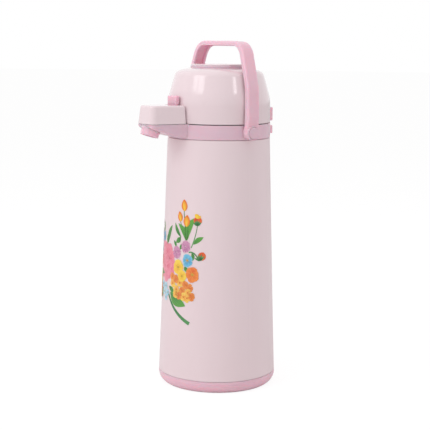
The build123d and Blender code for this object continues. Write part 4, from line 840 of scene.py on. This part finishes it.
def rosebuds():
    """Two red buds on their own stalks, and one on the far side."""
    flat = new_print()
    for (x, z), size, lean in (
        ((36.8, 191.5), 11.5, 1.5),
        ((42.6, 147.5), 10.5, 4.0),
        ((-42.0, 168.0), 10.5, -3.0),
    ):
        low, high = (x - lean / 2, z - size / 2), (x + lean / 2, z + size / 2)
        left, right = (high[0] - 1.6, high[1] - 1.2), (high[0] + 1.8, high[1] - 1.8)
        blade(flat, low, high, size * 0.92, fullness=0.55, layer=6, tint=0.6)
        blade(flat, low, left, size * 0.42, bow=1.2, fullness=0.8, layer=7, tint=0.1)
        blade(flat, low, right, size * 0.40, bow=-1.2, fullness=0.8, layer=7, tint=0.9)
    lay_on_casing(
        flat,
        "printed_rosebuds",
        ink("rosebud_ink", (0.60, 0.035, 0.02), (0.80, 0.11, 0.03), (0.93, 0.45, 0.05), 0.5, 2.4),
    )
    flat = new_print()
    blade(flat, (34.2, 194.6), (37.8, 199.0), 7.0, fullness=0.6, layer=8, tint=0.3)
    blade(flat, (38.2, 194.8), (40.4, 197.6), 3.4, fullness=0.7, layer=8, tint=0.6)
    lay_on_casing(
        flat,
        "printed_bud_tips",
        ink("bud_tip_ink", (0.93, 0.66, 0.06), (0.93, 0.52, 0.05), (0.90, 0.35, 0.03), 0.4),
    )


def peony():
    """The large pink bloom, five rings of petals."""
    flat = new_print()
    middle = Vector((-15.5, 135.0))
    for layer, (radius, count, width, rise) in enumerate(
        (
            (27.0, 12, 13.5, 0.0),
            (21.5, 10, 11.5, 1.0),
            (15.5, 9, 9.0, 2.0),
            (10.0, 8, 6.4, 2.5),
            (5.6, 6, 4.2, 3.0),
        )
    ):
        bloom(
            flat,
            middle + Vector((0.0, rise)),
            radius,
            count,
            width,
            turn=17.0 * layer,
            hollow=0.05,
            layer=1 + 2 * layer,
            tints=(0.15, 0.95),
            squash=0.80,
        )
    lay_on_casing(
        flat,
        "printed_peony",
        ink("peony_ink", (0.66, 0.04, 0.13), (0.86, 0.24, 0.36), (0.96, 0.66, 0.60), 0.9, 1.6),
    )


def mauve_flowers():
    """Fluffy thistle-like flowers made of many fine petals."""
    flat = new_print()
    for x, z, radius in ((21.4, 158.0, 8.4), (7.6, 149.0, 8.6), (-36.0, 162.0, 8.0)):
        for ring, (share, count) in enumerate(((1.0, 22), (0.72, 16), (0.42, 10))):
            bloom(
                flat,
                (x, z),
                radius * share,
                count,
                1.9,
                turn=11.0 * ring,
                hollow=0.12,
                layer=4 + ring,
                tints=(0.1, 0.9),
                fullness=0.8,
                belly=0.7,
                squash=0.85,
            )
    lay_on_casing(
        flat,
        "printed_mauve_flowers",
        ink("mauve_ink", (0.46, 0.12, 0.32), (0.68, 0.32, 0.50), (0.84, 0.60, 0.72), 0.6),
    )


def open_flowers():
    """Single open flowers, each with its own ink and a dotted centre."""
    kinds = {
        "yellow": (
            (
                (10.8, 131.0, 10.5, 5, 10.5, 20.0),
                (17.0, 120.5, 8.0, 5, 8.0, 50.0),
                (-37.0, 112.0, 10.0, 5, 10.0, 10.0),
            ),
            ((0.90, 0.50, 0.04), (0.92, 0.70, 0.10), (0.88, 0.42, 0.03)),
        ),
        "orange": (
            ((31.4, 124.0, 10.6, 6, 9.6, 12.0), (-39.0, 132.0, 10.5, 6, 9.6, 40.0)),
            ((0.75, 0.10, 0.02), (0.88, 0.27, 0.05), (0.93, 0.50, 0.14)),
        ),
        "blue": (
            (
                (24.2, 141.0, 8.6, 5, 8.4, 36.0),
                (-26.0, 165.0, 6.6, 5, 6.0, 0.0),
                (-45.0, 147.0, 6.6, 5, 6.6, 20.0),
            ),
            ((0.04, 0.30, 0.56), (0.16, 0.55, 0.76), (0.60, 0.86, 0.94)),
        ),
        "light_blue": (
            (
                (-14.0, 103.0, 5.2, 5, 5.0, 0.0),
                (-18.5, 95.0, 5.2, 5, 5.0, 30.0),
                (-9.5, 95.0, 4.8, 5, 4.8, 60.0),
                (-13.0, 88.0, 4.2, 5, 4.2, 10.0),
                (-23.0, 103.5, 4.6, 5, 4.6, 45.0),
            ),
            ((0.22, 0.56, 0.78), (0.55, 0.80, 0.90), (0.90, 0.96, 0.98)),
        ),
    }
    heart = new_print()
    for name, (places, colours) in kinds.items():
        flat = new_print()
        for x, z, radius, count, width, turn in places:
            bloom(
                flat,
                (x, z),
                radius,
                count,
                width,
                turn=turn,
                layer=7,
                tints=(0.25, 0.8),
                fullness=0.45,
                squash=0.82,
            )
            dot(heart, (x, z), radius * 0.34, 10, tint=0.4)
            for k in range(7):
                angle = 2 * pi * k / 7
                spot = (x + cos(angle) * radius * 0.26, z + sin(angle) * radius * 0.3)
                dot(heart, spot, radius * 0.09, 11, tint=0.9)
        finish = ink(f"{name}_flower_ink", *colours, 0.6, 1.4)
        lay_on_casing(flat, f"printed_{name}_flowers", finish)
    lay_on_casing(
        heart,
        "printed_flower_hearts",
        ink("flower_heart_ink", (0.45, 0.30, 0.04), (0.80, 0.46, 0.04), (0.25, 0.20, 0.05), 0.4),
    )


def small_flower_cluster():
    """Many small orange and yellow flowers that fill the lower bouquet."""
    places = (
        (1.0, 117.5), (2.2, 109.0), (7.6, 115.0), (14.0, 111.5), (22.0, 110.0),
        (8.5, 102.5), (18.0, 102.0), (26.0, 100.5), (13.5, 95.0), (25.0, 93.5),
        (30.5, 96.0), (8.0, 96.0), (28.0, 106.5), (20.0, 94.5), (-31.5, 99.5),
        (-37.0, 95.5), (-33.0, 90.0),
    )
    yellow, orange = new_print(), new_print()
    for k, (x, z) in enumerate(places):
        bloom(
            yellow if k % 2 else orange,
            (x, z),
            chance.uniform(5.2, 6.4),
            5,
            5.0,
            turn=chance.uniform(0, 72),
            layer=5 + 2 * (k % 3),
            tints=(0.2, 0.8),
            fullness=0.45,
            squash=0.86,
        )
    lay_on_casing(
        yellow,
        "printed_small_yellow_flowers",
        ink(
            "small_yellow_ink", (0.84, 0.24, 0.03), (0.92, 0.62, 0.10), (0.94, 0.74, 0.28), 0.7, 0.9
        ),
    )
    lay_on_casing(
        orange,
        "printed_small_orange_flowers",
        ink(
            "small_orange_ink", (0.64, 0.07, 0.02), (0.86, 0.30, 0.05), (0.93, 0.60, 0.16), 0.8, 0.9
        ),
    )
    eyes = new_print()
    for x, z in places:
        dot(eyes, (x, z), SMALL_FLOWER_EYE, 11, tint=0.5)
    lay_on_casing(
        eyes,
        "printed_small_flower_eyes",
        ink(
            "small_flower_eye_ink", (0.62, 0.14, 0.02), (0.75, 0.24, 0.03), (0.90, 0.60, 0.10), 0.3
        ),
    )


def leaves():
    """Leaves round the flowers, light at their bellies and dark at their bases."""
    flat = new_print()
    for base, tip, width, bow, tint in (
        ((22.0, 165.0), (9.0, 186.0), 7.5, -3.2, 0.55),
        ((22.5, 165.0), (33.8, 195.0), 9.5, 4.0, 0.75),
        ((22.0, 164.0), (22.5, 186.0), 8.0, 0.0, 0.65),
        ((14.4, 168.5), (3.4, 186.0), 5.0, 1.6, 0.15),
        ((13.6, 169.0), (6.0, 161.0), 6.4, 0.6, 0.25),
        ((31.8, 161.5), (44.4, 171.5), 6.0, 1.0, 0.60),
        ((-11.2, 158.0), (-2.6, 182.0), 6.8, 2.2, 0.20),
        ((-13.0, 156.0), (-12.0, 170.0), 5.0, 1.0, 0.35),
        ((-31.0, 164.0), (-25.4, 184.0), 4.4, -0.8, 0.35),
        ((2.0, 163.5), (6.5, 155.5), 4.0, 0.4, 0.20),
        ((15.0, 161.0), (13.0, 153.0), 4.2, 0.4, 0.30),
        ((20.5, 133.0), (23.5, 126.0), 5.4, 0.4, 0.25),
        ((-3.0, 97.0), (22.8, 83.0), 14.0, -2.4, 0.50),
        ((-2.0, 96.0), (13.0, 80.0), 8.0, 1.2, 0.35),
        ((-6.0, 104.0), (4.0, 96.0), 6.5, 1.0, 0.15),
        ((30.0, 152.0), (31.5, 141.0), 4.2, 0.8, 0.25),
        ((-24.0, 101.0), (-27.5, 84.0), 4.0, 1.0, 0.45),
        ((-20.0, 118.0), (-36.0, 122.0), 6.5, 1.0, 0.40),
        ((-38.0, 172.0), (-47.0, 184.0), 6.0, -1.6, 0.55),
        ((-40.0, 154.0), (-50.0, 159.0), 5.2, 1.0, 0.35),
        ((-34.0, 104.0), (-46.0, 96.0), 6.4, 1.4, 0.45),
    ):
        layer = 2 + (tint > 0.4)
        blade(flat, base, tip, width, bow=bow, fullness=0.9, layer=layer, tint=tint, rows=12)
    lay_on_casing(
        flat,
        "printed_leaves",
        ink("leaf_ink", (0.015, 0.15, 0.04), (0.10, 0.37, 0.05), (0.28, 0.55, 0.16), 0.6, 0.9),
    )


def stems():
    """Stalks of the buds and the thick stem that gathers the bouquet."""
    flat = new_print()
    strip(flat, (-8.5, 99.0), (2.0, 74.0), (28.5, 61.5), 2.4, 4.6, layer=1, tint=0.2)
    strip(flat, (36.6, 186.0), (35.0, 172.0), (29.0, 157.0), 0.9, 1.2, layer=1, tint=0.6)
    strip(flat, (17.8, 202.0), (18.4, 190.0), (21.4, 172.0), 1.0, 1.4, layer=1, tint=0.4)
    strip(flat, (12.4, 188.0), (15.0, 182.0), (20.0, 174.0), 0.9, 1.1, layer=1, tint=0.4)
    strip(flat, (38.8, 143.0), (33.0, 154.0), (26.0, 151.0), 1.4, 1.8, layer=3, tint=0.3)
    strip(flat, (-41.5, 163.0), (-38.0, 152.0), (-30.0, 140.0), 1.0, 1.5, layer=1, tint=0.4)
    for (x, z), size, lean in (
        ((36.4, 186.6), 6.0, 0.4),
        ((40.6, 143.4), 7.4, 1.4),
        ((-41.2, 163.6), 6.4, -1.0),
    ):
        for turn in (-62.0, -32.0, 0.0, 32.0, 62.0):
            angle = radians(turn) - lean * 0.2
            tip = (x + sin(angle) * size, z + cos(angle) * size)
            blade(flat, (x, z - 1.4), tip, 2.6, fullness=0.9, belly=0.35, layer=9, tint=0.45)
    lay_on_casing(
        flat,
        "printed_stems",
        ink("stem_ink", (0.03, 0.17, 0.06), (0.10, 0.34, 0.10), (0.22, 0.46, 0.18), 0.4, 1.4),
    )


stems()
leaves()
peony()
mauve_flowers()
open_flowers()
small_flower_cluster()
tulip_buds()
rosebuds()


# ---------------------------------------------------------------- what the plate squeezes


def squeeze_with_plate():
    """The plate squeezes the bellows and the return spring; here copies of them ride with the lid
    in place of the imported parts, and they are not made to shorten.
    """
    motions = frame["record"]["behaviour"]["joints"]
    press = next(motion for motion in motions if motion["name"] == "plate_press")
    for squeezed in press["deforming_nodes"]:
        name, foot = squeezed["node"], squeezed["fixed_end_z_m"]
        mesh = nodes[name].data.copy()
        mesh.materials.clear()
        mesh.materials.append(nodes[name].material_slots[0].material)
        piece = bpy.data.objects.new(f"squeezed_{name}", mesh)
        bpy.context.scene.collection.objects.link(piece)
        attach(piece, "lid")
        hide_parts(name)
        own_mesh(piece)


squeeze_with_plate()
